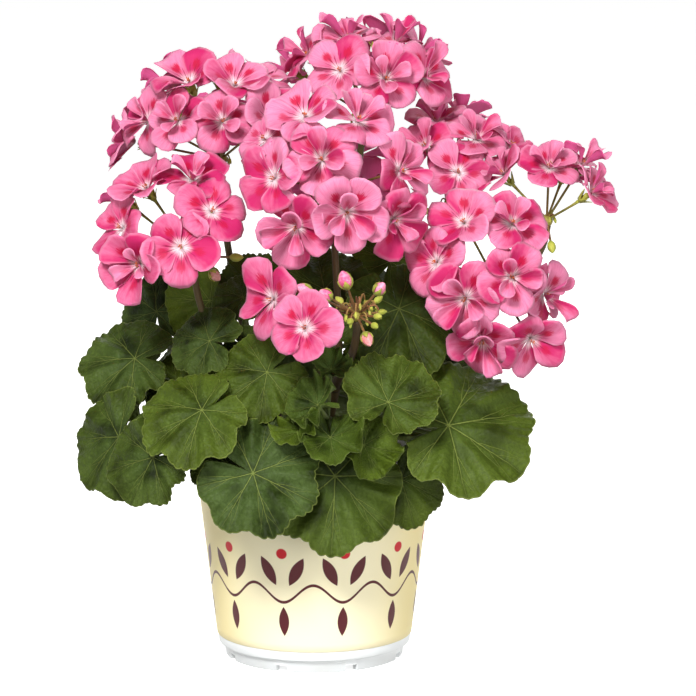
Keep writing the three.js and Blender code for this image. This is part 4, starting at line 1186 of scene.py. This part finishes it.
# %% Head tables
HEADS = [
    # name, reach, lowest elevation, azimuth that the rule starts behind, size, seed, florets, buds
    ("a", 48, 12, 115, 1, 11,
     [(-64, 28, -52, 24), (-30, 30), (2, 30), (40, 30), (18, 60), (-42, 62), (104, 62), (-100, 8)],
     [(-80, -2, 34, 8)]),
    ("b", 46, 14, 142, 1, 22,
     [(-52, 26), (-36, 8), (-6, 16), (14, 36), (-54, 52), (-10, 66), (-100, 38)],
     [(40, -25, 16, 9), (64, 2, 22, 8)]),
    ("c", 48, 16, 110, 1.05, 13,
     [(-40, 12), (-24, -18), (-66, 38), (14, 30), (10, -7), (43, -14), (48, 16), (-34, 56), (34, 52)],
     []),
    ("d", 46, 14, 0, 1, 14,
     [(-17, 34), (16, 28), (54, 28), (-30, 68, -30, 76, 0.95), (60, 62, 60, 74, 0.95),
      (-84, 46, -80, 36, 0.95), (106, 46), (-112, 30)],
     []),
    ("e", 46, 58, 0, 0.95, 15,
     [(1, 30), (30, 54), (-60, 74), (-24, 48, -28, 40), (76, 44)],
     [(-30, -4, 26, 7), (0, -8, 28, 7), (30, -6, 27, 7)]),
    ("f", 35, 26, 0, 0.93, 16,
     [(6, 60), (74, 54), (-76, 46), (150, 46), (50, 36, 70, 34)],
     [(-10, -30, 10, 8), (10, -48, 14, 8), (-40, -14, 9, 6)]),
    ("g", 49, 26, 90, 1.04, 17,
     [(-32, 13), (-20, -9), (12, 8), (-26, 38), (10, 42), (-6, -28), (24, -26),
      (32, -12, 50, -8, 0.88)],
     []),
    ("h", 38, 90, 0, 1.04, 18,
     [(-48, -3, -8, 18, 1), (-78, 11, -50, 12, 1.18)],
     [(-60, 26, 30, 11), (-40, 28, 24, 10), (-26, 55, 19, 12), (34, 38, 22, 10), (20, -34, 14, 10),
      (-20, -10, 8, 6), (40, 4, 14, 6), (30, -10, 16, 6), (70, 10, 12, 5), (-60, -6, 9, 5),
      (120, 30, 12, 6), (-130, 30, 11, 6)]),
    ("i", 46, 8, 130, 1, 21,
     [],
     [(180, -4, 26, 8)]),
]
HEAD_KEYS = "name reach low behind size seed florets buds".split()
HEADS = [dict(zip(HEAD_KEYS, row), at=np.array(HEAD_SEATS[row[0]][0], float)) for row in HEADS]
print("listed florets and buds:", [(len(head["florets"]), len(head["buds"])) for head in HEADS])

# %% Florets of the front
# The least distance between two florets of a head, and the distance at which they touch.
FLORET_CLOSEST, FLORET_TOUCH = 25.0, 27.5
FRONT_LEAN = np.array([0, -0.16, 0.024])


def settle(ways, reach):
    """Slides the listed florets along their dome until none crowds another and each has a neighbour."""
    for _ in range(40):
        for n in range(len(ways)):
            for k in range(len(ways)):
                short = FLORET_CLOSEST - np.linalg.norm(ways[n] - ways[k]) * reach
                if k != n and short > 0:
                    ways[n] = unit(ways[n] - unit(ways[k] - ways[n]) * 0.3 * short / reach)
            if n > 0:
                apart = np.linalg.norm(ways[:n] - ways[n], axis=1) * reach
                excess = apart.min() - FLORET_TOUCH
                if excess > 0:
                    ways[n] = unit(ways[n] + unit(ways[apart.argmin()] - ways[n]) * 0.5 * excess / reach)
    return ways


def listed_florets(head):
    """The florets of a head that are listed, after they have settled."""
    ways = np.array([toward(row[0], row[1]) for row in head["florets"]]).reshape(-1, 3)
    ways = settle(ways, head["reach"])
    placed = []
    for way, row in zip(ways, head["florets"]):
        facing = toward(row[2], row[3]) if len(row) > 2 else unit(way + FRONT_LEAN)
        share = row[4] if len(row) > 4 else 1.0
        placed.append(dict(head=head, way=way, at=head["at"] + way * head["reach"] * share, facing=facing))
    return placed


FLORETS = []
for head in HEADS:
    FLORETS += listed_florets(head)
print("florets of the front:", len(FLORETS))

# %% Florets of the rest
# How far a new floret stays from the second nearest of its head, and from those of other heads.
FLORET_GAP, HEAD_SPACING = 34.0, 42.0
DOME_TRIALS = 900


def fill_dome(head, placed):
    """Points of a golden spiral that touch one floret of the head and are clear of all others."""
    for n in range(DOME_TRIALS):
        elevation = np.degrees(np.arcsin(1 - n / DOME_TRIALS))
        if elevation < head["low"]:
            break
        way = toward((n * 137.5 + head["seed"] * 40) % 360, elevation)
        if abs(np.arctan2(way[0], -way[1])) < np.radians(head["behind"]):
            continue
        at = head["at"] + way * head["reach"]
        apart = np.linalg.norm(np.array([other["at"] for other in placed]) - at, axis=1)
        own = np.array([other["head"] is head for other in placed])
        near = np.sort(np.append(apart[own], [np.inf, np.inf]))
        first = near[0] if own.any() else FLORET_TOUCH
        touches = FLORET_TOUCH - 2.5 < first <= FLORET_TOUCH + 0.4 and near[1] > FLORET_GAP
        if touches and apart[~own].min() > HEAD_SPACING:
            placed.append(dict(head=head, way=way, at=at, facing=way))


def spin_to_neighbour(floret, placed):
    """The least turn that brings one petal over the nearest floret placed before this one."""
    own = [other for other in placed if other["head"] is floret["head"]]
    index = next(n for n, other in enumerate(own) if other is floret)
    others = own[:index] if index > 0 else own[1:]
    near = min(others, key=lambda other: np.linalg.norm(other["at"] - floret["at"]))
    x, y, _ = facing_axes(floret["facing"], 0) @ (near["at"] - floret["at"])
    angle = np.degrees(np.arctan2(y, x))
    return angle - 72 * np.floor(angle / 72 + 0.5)


for head in HEADS:
    fill_dome(head, FLORETS)
for number, floret in enumerate(FLORETS):
    floret["seed"] = 100 + number
    floret["spin"] = spin_to_neighbour(floret, FLORETS)
print("florets:", {head["name"]: sum(f["head"] is head for f in FLORETS) for head in HEADS})

# %% [markdown]
# ### Petals
#
# Each floret has five petals. A petal starts as a narrow claw at the throat and widens to a round,
# slightly wavy end, and its neighbours overlap it like the blades of a fan. On paper it is a wedge:
# the distance along and the angle across are the two parameters. The end is rounded by shortening the
# wedge towards its corners. Some florets carry a few small folded petals more in the middle.

# %% Petal form
FLORET_RADIUS = 20.6
PETAL_ROWS, PETAL_COLUMNS = 9, 11
PETAL_THICKNESS = 0.34
CLAW = 0.6


def petal_points(t, s, length, spread, form):
    """Points of one petal along +X: the wedge, its funnel, roll, trough, ruffle and bent end.

    t runs from the claw to the end and s from one side to the other. The wedge's half angle grows
    a little from the claw to its full spread. The end is an arch, 0.5 + 0.5 sqrt(1 - |s|^2.2).
    The funnel rises fast near the throat and flattens: 1.3 share - 0.3 share cubed."""
    arch = 0.5 + 0.5 * np.sqrt(np.maximum(0, 1 - np.abs(s) ** 2.2))
    arch = arch * (1 + form["notch"] * 0.05 * (np.abs(s) - 0.5) * (1 - np.abs(s)))
    angle = s * spread * (0.8 + 0.2 * smooth(t, 0.05, 0.5)) + form["lean"] * t * t
    reach = CLAW + (length - CLAW) * t * (1 + (arch - 1) * t ** 2)
    share = reach / length
    x, y = reach * np.cos(angle), reach * np.sin(angle)
    z = form["cup"] * (1.3 * share - 0.3 * share ** 3) + share * form["tilt"]
    z = z + form["roll"] * share * s * 0.1 + form["trough"] * share * np.abs(s) ** 1.6
    z = z + form["ruffle"] * t ** 3 * np.sin(form["phase"] + 4.2 * s)
    z = z - form["bend"] * smooth(t, 0.62, 1.1) ** 2
    return np.stack([x, y, z * length], axis=-1)


def petal_grid():
    """Parameters of a petal's points; columns crowd towards the sides, where the outline turns."""
    t = np.linspace(0, 1, PETAL_ROWS)[:, None] ** 0.9
    s = np.sin(np.linspace(-1, 1, PETAL_COLUMNS) * np.pi / 2)[None, :]
    return t * np.ones_like(s), s * np.ones_like(t)


PETAL_T, PETAL_S = petal_grid()
PETAL_QUADS, PETAL_FLAT = sheet_faces(PETAL_ROWS, PETAL_COLUMNS)


def add_petal(bundle, floret, axes, angle, length, spread, form, tone, blotch):
    """One closed petal: its face and back stand half a thickness off the surface along its normals."""
    local = petal_points(PETAL_T, PETAL_S, length, spread, form)
    across = np.gradient(local, axis=1)
    along = np.gradient(local, axis=0)
    normal = unit(np.cross(along, across))
    half = normal * PETAL_THICKNESS / 2 * (1 - 0.5 * PETAL_T[..., None])
    both = np.concatenate([(local + half).reshape(-1, 3), (local - half).reshape(-1, 3)])
    points = spun(both, angle) @ axes + floret["at"]
    size = PETAL_T.size
    place = np.stack([PETAL_T.ravel(), PETAL_S.ravel(), np.full(size, blotch)], axis=-1)
    bundle.add(points, PETAL_QUADS, (), PETAL_FLAT, np.tile(place, (2, 1)), two_faced(tone, size))


print("a petal has", len(PETAL_QUADS), "faces")

# %% [markdown]
# ### Petal finish
#
# The face of a petal is a clear light pink. A deeper rose is painted on as shade towards the claw
# and, often, on one of its sides, and more of it on the heads that stand in shade. Its claw is white
# with dark lines, and a feathered crimson blotch sits where the claw widens. The back is a deeper
# pink, its own colour with painted shade in it. Light also reaches a petal through others: a share
# of translucent light gives that glow.

# %% Petal finish
def petal_finish(name):
    """White throat with dark lines, a crimson blotch that feathers along the veins, and pale rims."""
    f = Finish(name)
    t, s, blotch = f.split(f.attribute("place", 1))
    warm, deep, seed = f.split(f.attribute("tone", 0))
    face = f.attribute("tone", 3)
    spot = f.join(t * 2.0, s * 3.0 + seed * 9.0, seed * 5.0)
    stretched = f.join(t * 1.3, s * 18.0 + seed * 9.0, seed * 5.0)
    streak = f.noise(stretched, 2.2, 3.0, 0.6)
    cloud = f.noise(spot, 1.6, 2.0)
    side = abs(s)

    # Painted shade: the rose deepens towards the claw, on one side of each petal and by the deep tone,
    # which holds the head's painted shade; the cloud varies it at random.
    rose = (1 - t.ramp(0.2, 0.75)) * 0.35 + (s * 0.9 + (seed - 0.5) * 2.0).ramp(0.15, 1.2) * 0.75
    rose = (rose + (cloud - 0.5) * 0.7 + deep + warm * 0.12).ramp(0.0, 1.15)
    pink = f.mix(rose, colour("e48cb0"), colour("bd2061"))
    pink = f.mix(streak.ramp(0.42, 0.72) * 0.42, pink, colour("c22c69"))
    rim = side.ramp(0.8, 1.0).call("MAXIMUM", t.ramp(0.86, 1.0))
    pink = f.mix(rim * 0.4, pink, colour("e6a4c1"))
    throat = (1 - (t + (streak - 0.5) * 0.24 + side * 0.08).ramp(0.1, 0.34)) * 0.9
    pink = f.mix(throat, pink, colour("f6e8ec"))
    long_way = (t - 0.46) / 0.17 + (streak - 0.5) * 3.2
    wide_way = s / 0.4 + (cloud - 0.5) * 0.6
    spread = (long_way * long_way + wide_way * wide_way).call("SQRT")
    mark = (1 - spread.ramp(0.6, 1.0)) * blotch
    pink = f.mix(mark * 0.95, pink, colour("b8043a"))
    lines = (s * 13.0 + (cloud - 0.5) * 3.0).call("COSINE").ramp(0.82, 0.97)
    lines = lines * t.ramp(0.06, 0.16) * (1 - t.ramp(0.3, 0.5)) * (1 - side.ramp(0.55, 0.85))
    pink = f.mix(lines * (0.75 + blotch * 0.25), pink, colour("7c0c34"))
    # The back: its own deeper pink, with painted shade in it.
    back = f.mix(streak.ramp(0.3, 0.8) * 0.5, colour("d8629a"), colour("c23876"))
    back = f.mix(throat * 0.5, back, colour("ead0ca"))
    ground = f.mix(1 - face, pink, back)
    normal = f.bump(streak * 0.8 + cloud * 0.6, 0.45, 0.0007)
    return f.done(
        colour("ee4a92"), 0.2, Base_Color=ground, Roughness=0.55, Normal=normal, Specular_IOR_Level=0.22,
        Sheen_Weight=0.08, Sheen_Roughness=0.4, Sheen_Tint=(1.0, 0.85, 0.92, 1.0),
    )


PETAL_FINISH = petal_finish("pink_petal")
print("petal finish nodes:", len(PETAL_FINISH.node_tree.nodes))

# %% Petals in place
PITCH = 2 * np.pi / 5
# Painted shade: how much deeper the rose is painted on these heads than on the others.
HEAD_PAINTED_SHADE = {"a": 0.09, "b": 0.44, "e": 0.14, "f": 0.2, "g": 0.08, "h": 0.34}


def floret_petals(bundle, floret):
    """Five petals, each with its own tilt and ruffle, and in some florets small ones inside."""
    seed, size = floret["seed"], floret["head"]["size"]
    radius = FLORET_RADIUS * size * (0.94 + 0.12 * chance(seed, 1))
    cup = 0.12 + 0.48 * chance(seed, 2) ** 1.5
    axes = facing_axes(floret["facing"], floret["spin"])
    hand = 1.0 if chance(seed, 60) > 0.5 else -1.0
    top = (floret["spin"] / 72 + 2.5) % 5
    for k in range(5):
        own = chance(seed, 10 + k) - 0.5
        upper = 1.0 if abs((k - top + 2.5) % 5 - 2.5) < 1.0 else 0.8
        form = dict(
            cup=cup, tilt=0.32 * own, roll=hand * (0.9 + 0.6 * chance(seed, 20 + k)),
            trough=0.45 * (chance(seed, 25 + k) - 0.4), ruffle=0.1 * (0.4 + chance(seed, 30 + k)),
            phase=6.28 * chance(seed, 35 + k), bend=0.26 * (chance(seed, 40 + k) - 0.15),
            notch=4 * (chance(seed, 45 + k) - 0.3), lean=0.2 * (chance(seed, 80 + k) - 0.5),
        )
        length = radius * (0.88 + 0.14 * chance(seed, 50 + k))
        spread = np.radians(38 + 9 * chance(seed, 55 + k))
        # The head's share of deep is painted shade; the chance terms deepen petals at random.
        deep = HEAD_PAINTED_SHADE.get(floret["head"]["name"], 0.05) + 0.15 * chance(seed, 68)
        deep = deep + 1.6 * max(0.0, chance(seed, 90 + k) - 0.65)
        tone = (chance(seed, 61), deep, chance(seed, 70 + k))
        add_petal(bundle, floret, axes, k * PITCH, length, spread, form, tone, upper)
    if chance(seed, 62) > 0.4 and floret["head"]["name"] != OPENING_HEAD:
        for k in range(3):
            form = dict(
                cup=0.7, tilt=0.4, roll=0.5, trough=0.6, ruffle=0.08, phase=k * 2.0, bend=0.1, notch=0.0,
                lean=0.3 * (chance(seed, 85 + k) - 0.5),
            )
            length = radius * (0.44 + 0.28 * chance(seed, 65 + k))
            angle = (k * 1.7 + 0.5 + 0.5 * chance(seed, 63)) * PITCH
            tone = (chance(seed, 64), 0.4 * chance(seed, 66), chance(seed, 75 + k))
            add_petal(bundle, floret, axes, angle, length, np.radians(34), form, tone, 0.5)


petal_faces = 0
for head in HEADS:
    bunch = Bundle()
    for floret in FLORETS:
        if floret["head"] is head:
            floret_petals(bunch, floret)
    bunch.piece("petals_" + head["name"], PETAL_FINISH, "petals", "florets_" + head["name"])
    petal_faces += bunch.faces
print("petal triangles:", petal_faces)

# %% [markdown]
# ### Stamens, calyces and buds
#
# A short bundle of stamens stands in each throat. Behind the petals five pointed sepals clasp them,
# and a thin stalk with a slight arch leads back to the knob of the head. Buds hang on stalks of their
# own: pointed eggs whose sepals part at the end, where the first petal shows.

# %% Stamens
def stamen_finish(name):
    """Pale rose threads with orange to brown anthers at their ends."""
    f = Finish(name)
    along, _, _ = f.split(f.attribute("place", 1))
    cloud = f.noise(f.place(), 500.0, 2.0)
    ground = f.mix(along.ramp(0.45, 0.75), colour("f2c3c6"), colour("c8602e"))
    ground = f.mix(cloud.ramp(0.45, 0.7) * along.ramp(0.6, 0.9), ground, colour("7d2c18"))
    normal = f.bump(cloud, 0.5, 0.0005)
    return f.done(Base_Color=ground, Roughness=0.6, Normal=normal)


STAMEN_FINISH = stamen_finish("orange_brown_stamens")
STAMENS = 6
stamens = Bundle()
for floret in FLORETS:
    axes = facing_axes(floret["facing"], floret["spin"])
    for k in range(STAMENS):
        lean = 0.08 + 0.3 * chance(floret["seed"] + k, 81)
        turn = k * 2.4 + 6.28 * chance(floret["seed"], 82)
        way = unit(np.array([lean * np.cos(turn), lean * np.sin(turn), 1.0])) @ axes
        tall = 3.4 + 1.6 * chance(floret["seed"] + k, 83)
        path = floret["at"] + way[None] * (np.array([0.1, 0.66, 0.76, 1.0]) * tall)[:, None]
        add_tube(stamens, path, np.array([0.13, 0.13, 0.42, 0.22]), 4)
stamens.piece("stamens", STAMEN_FINISH, "petals")
print("stamen triangles:", stamens.faces)

# %% Sprig finish
def sprig_finish(name):
    """Green to reddish brown by an attribute, and pink where a bud shows its petals."""
    f = Finish(name)
    along, pink, _ = f.split(f.attribute("place", 1))
    brown, value, _ = f.split(f.attribute("tone", 0))
    place = f.place()
    cloud = f.noise(place, 120.0, 3.0)
    streak = f.noise(place, 800.0, 2.0)
    ground = f.mix(cloud.ramp(0.3, 0.7), colour("8d9636"), colour("b3b04a"))
    ground = f.mix((brown + cloud * 0.3 - 0.1).ramp(0.3, 0.9), ground, colour("7d4f33"))
    blush = f.mix((streak * 0.6 + cloud * 0.6).ramp(0.35, 0.8), colour("f0a3bd"), colour("dd4c86"))
    ground = f.mix((along.ramp(0.1, 0.3) * pink).call("MINIMUM", 1.0), ground, blush)
    ground = f.mix(streak * 0.22, ground, colour("4f5a26"))
    ground = f.scaled(ground, value)
    normal = f.bump(cloud + streak * 0.4, 0.35, 0.0005)
    return f.done(
        Base_Color=ground, Roughness=0.6, Normal=normal, Specular_IOR_Level=0.25,
        Sheen_Weight=0.06, Sheen_Roughness=0.45, Sheen_Tint=(0.92, 0.95, 0.85, 1.0),
    )


SPRIG_FINISH = sprig_finish("green_sprig")
print("sprig finish nodes:", len(SPRIG_FINISH.node_tree.nodes))

# %% Calyx and bud forms
CALYX_LENGTH, PEDICEL_RADIUS = 8.0, 0.7
# Radii up the knob of a head as shares, and heights and radii up a calyx cup.
KNOB_GIRTH = np.array([0.62, 0.85, 0.98, 1.0, 0.95, 0.75, 0.35])
CALYX_RISE = np.array([-0.6, 0.8, 3.0, 5.4, 7.4, 8.2])
CALYX_GIRTH = np.array([0.75, 1.0, 1.15, 1.4, 1.75, 1.3])
FLORET_SEAT = 0.95 / 2 * 1.3 + 0.35
SEPAL_T = np.linspace(0, 1, 5)[:, None] * np.ones(3)[None]
SEPAL_S = np.linspace(-1, 1, 3)[None] * np.ones(5)[:, None]
SEPAL_QUADS, SEPAL_FLAT = sheet_faces(5, 3)
# The same egg for all buds: share of the length and share of the greatest radius.
EGG = np.array([
    [0, 0.32], [0.08, 0.55], [0.22, 0.88], [0.4, 1.0], [0.6, 0.93], [0.8, 0.64], [0.93, 0.34], [1, 0.08],
])
BUD_GIRTH = 0.3


def add_sepals(bundle, foot, facing, length, tone, spread, seed):
    """Five pointed blades round a direction. Their half width is 0.41 (1.02 - t) (0.35 + t) of their
    length, and they lean out as t to the power of 1.5."""
    axes = facing_axes(facing, 360 * chance(seed, 91))
    for k in range(5):
        half = 0.17 * length * (1.02 - SEPAL_T) * (0.35 + SEPAL_T) * 2.4
        x = 1.3 + spread * length * SEPAL_T ** 1.5
        y = SEPAL_S * half
        z = length * SEPAL_T * (1 - 0.35 * spread) - 0.25 * np.abs(SEPAL_S) * half
        local = np.stack([x, y, z], axis=-1).reshape(-1, 3)
        offset = np.array([0.14, 0, -0.08])
        both = spun(np.concatenate([local - offset, local + offset]), k * PITCH)
        bundle.add(both @ axes + foot, SEPAL_QUADS, flat=SEPAL_FLAT, tone=tone)


def add_bud_sepals(bundle, foot, way, length, cover, tone, seed):
    """Five sepals that hug a bud up to the share cover of its length and narrow to a point there."""
    axes = facing_axes(way, 360 * chance(seed, 91))
    for k in range(5):
        own = cover * (0.88 + 0.24 * chance(seed + k, 96))
        t = own * SEPAL_T
        girth = BUD_GIRTH * length * np.interp(t, EGG[:, 0], EGG[:, 1])
        angle = SEPAL_S * np.radians(37) * np.maximum(0.04, 1 - SEPAL_T ** 2.2)
        skin = girth * (1.06 + 0.05 * SEPAL_T) + 0.12
        layers = [[r * np.cos(angle), r * np.sin(angle), t * length] for r in (skin + 0.3, skin)]
        both = spun(np.stack(layers).transpose(0, 2, 3, 1).reshape(-1, 3), k * PITCH)
        bundle.add(both @ axes + foot, SEPAL_QUADS, flat=SEPAL_FLAT, tone=tone)


def add_bud(bundle, foot, way, length, pink, tone, seed):
    """An egg along its direction with five ridges where the petals or sepals meet."""
    sides = 15
    t, share = EGG.T
    side = unit(np.cross(way, [0.3, 0.5, 0.81]))
    turn = 2 * np.pi * np.arange(sides) / sides
    ridges = 1 + 0.07 * np.cos(5 * turn + 6.28 * chance(seed, 92))
    radius = BUD_GIRTH * length * share[:, None] * ridges
    spine = foot + way * (length * t)[:, None]
    rows = spine[:, None, :] + radius[..., None] * circle(side, np.cross(way, side), sides)
    add_rings(bundle, rows, spine[0], spine[-1] + way * 0.03 * length, t, tone, pink)


print("an egg has", len(EGG), "rings, a sepal", len(SEPAL_QUADS), "faces")

# %% Sprigs in place
# How much pink a bud of this head shows, in the order of its table; 0 is a closed green bud.
PINK_BUDS = {"h": [1.0] * 4 + [0.7] + [0.0] * 7, "b": [0.6, 0.0]}


def sprig_stalks(sprig, head, centre):
    """The knob of a head, and a stalk, a calyx cup and five sepals for each of its florets."""
    knob = centre + np.array([0, 0, 1.0]) * np.linspace(-3.1, 3.2, 7)[:, None]
    add_tube(sprig, knob, RECEPTACLE_RADIUS * KNOB_GIRTH, 14, stalk_tone(0.5, 0.9))
    for floret in [f for f in FLORETS if f["head"] is head]:
        seed, facing = floret["seed"], floret["facing"]
        foot = floret["at"] - facing * (FLORET_SEAT + CALYX_LENGTH)
        reach = np.linalg.norm(foot - centre)
        path = bezier(
            centre + floret["way"] * 0.8, centre + floret["way"] * reach * 0.45,
            foot - facing * reach * 0.25, foot, 10,
        )
        brown = 0.35 + 0.6 * chance(seed, 93)
        radius = PEDICEL_RADIUS * (1 + 0.3 * smooth(np.linspace(0, 1, 10), 0.8, 1))
        add_tube(sprig, path, radius, 7, stalk_tone(brown, 0.85))
        add_tube(sprig, foot + facing * CALYX_RISE[:, None], CALYX_GIRTH, 10, stalk_tone(brown * 0.6, 0.95))
        add_sepals(sprig, foot + facing * 2.2, facing, 6.6, stalk_tone(0.2, 0.95), 0.5, seed)


def sprig_buds(sprig, head, centre):
    """The buds of a head on their own thin, brownish stalks."""
    pinks = PINK_BUDS.get(head["name"], [0.0] * 12)
    for number, (azimuth, elevation, distance, length) in enumerate(head["buds"]):
        way = toward(azimuth, elevation)
        foot, seed = centre + way * distance, number + head["seed"]
        knee = foot - way * distance * 0.3
        path = bezier(centre + way * 0.8, centre + way * distance * 0.4, knee, foot + way * 0.4, 9)
        add_tube(sprig, path, PEDICEL_RADIUS * 0.95, 7, stalk_tone(0.75, 0.9))
        add_bud(sprig, foot, way, length, pinks[number], stalk_tone(0.1, 1.1), seed)
        if pinks[number] > 0:
            cover = 0.62 + 0.14 * chance(seed, 97)
            add_bud_sepals(sprig, foot, way, length, cover, stalk_tone(0.35, 0.95), seed)


def sprig_curls(sprig, head, centre):
    """Small unopened buds that hang on short hooked stalks round the knob of a head."""
    count, reach = (18, 10.5) if head["name"] == OPENING_HEAD else (7, 4.6)
    for n in range(count):
        seed = n + 7 * head["seed"]
        azimuth = 360 * n / count + 30 * chance(seed, 110)
        way = toward(azimuth, 5 + 60 * chance(seed, 111))
        length = reach * (0.7 + 0.5 * chance(seed, 112))
        foot = centre + way * length
        tip = foot + toward(azimuth, -70) * length * 0.34
        rise = np.array([0, 0, length * 0.34])
        path = bezier(centre + way, centre + way * length * 0.6 + rise * 0.4, foot + rise, tip, 8)
        add_tube(sprig, path, np.linspace(0.6, 0.42, 8), 6, stalk_tone(0.55 + 0.4 * chance(seed, 113), 1.2))
        drop = tip + unit(tip - path[-2]) * np.array([-0.5, 0.6, 1.8, 2.8, 3.3])[:, None]
        girth = np.array([0.4, 1.0, 1.1, 0.7, 0.2]) * (0.7 + 0.3 * chance(seed, 114))
        add_tube(sprig, drop, girth, 7, stalk_tone(0.1 + 0.4 * chance(seed, 115), 1.15))


sprig_faces = 0
for head in HEADS:
    sprig = Bundle()
    sprig_stalks(sprig, head, head["at"])
    sprig_buds(sprig, head, head["at"])
    sprig_curls(sprig, head, head["at"])
    sprig.piece("sprig_" + head["name"], SPRIG_FINISH, "flower_stalks", "stalks_" + head["name"])
    sprig_faces += sprig.faces
print("sprig triangles:", sprig_faces)

# %% [markdown]
# ## Floor
#
# A wide pale floor ends the scene.

# %% Floor
FLOOR_SIZE, FLOOR_GLOW = 30.0, 0.62


def floor_finish(name):
    """Pale matt paper that glows a little, as a lit studio floor does."""
    f = Finish(name)
    cloud = f.noise(f.place(), 0.7, 2.0)
    ground = f.mix(cloud, colour("fbfbfa"), colour("f7f7f6"))
    white = (1.0, 1.0, 1.0, 1.0)
    return f.done(Base_Color=ground, Roughness=0.9, Emission_Color=white, Emission_Strength=FLOOR_GLOW)


half = FLOOR_SIZE / 2
floor_mesh = bpy.data.meshes.new("floor")
corners = [(-half, -half, 0), (half, -half, 0), (half, half, 0), (-half, half, 0)]
floor_mesh.from_pydata(corners, [], [(0, 1, 2, 3)])
floor_mesh.materials.append(floor_finish("pale_floor"))
floor = put("floor", floor_mesh)
floor.visible_diffuse = False
print("floor laid")
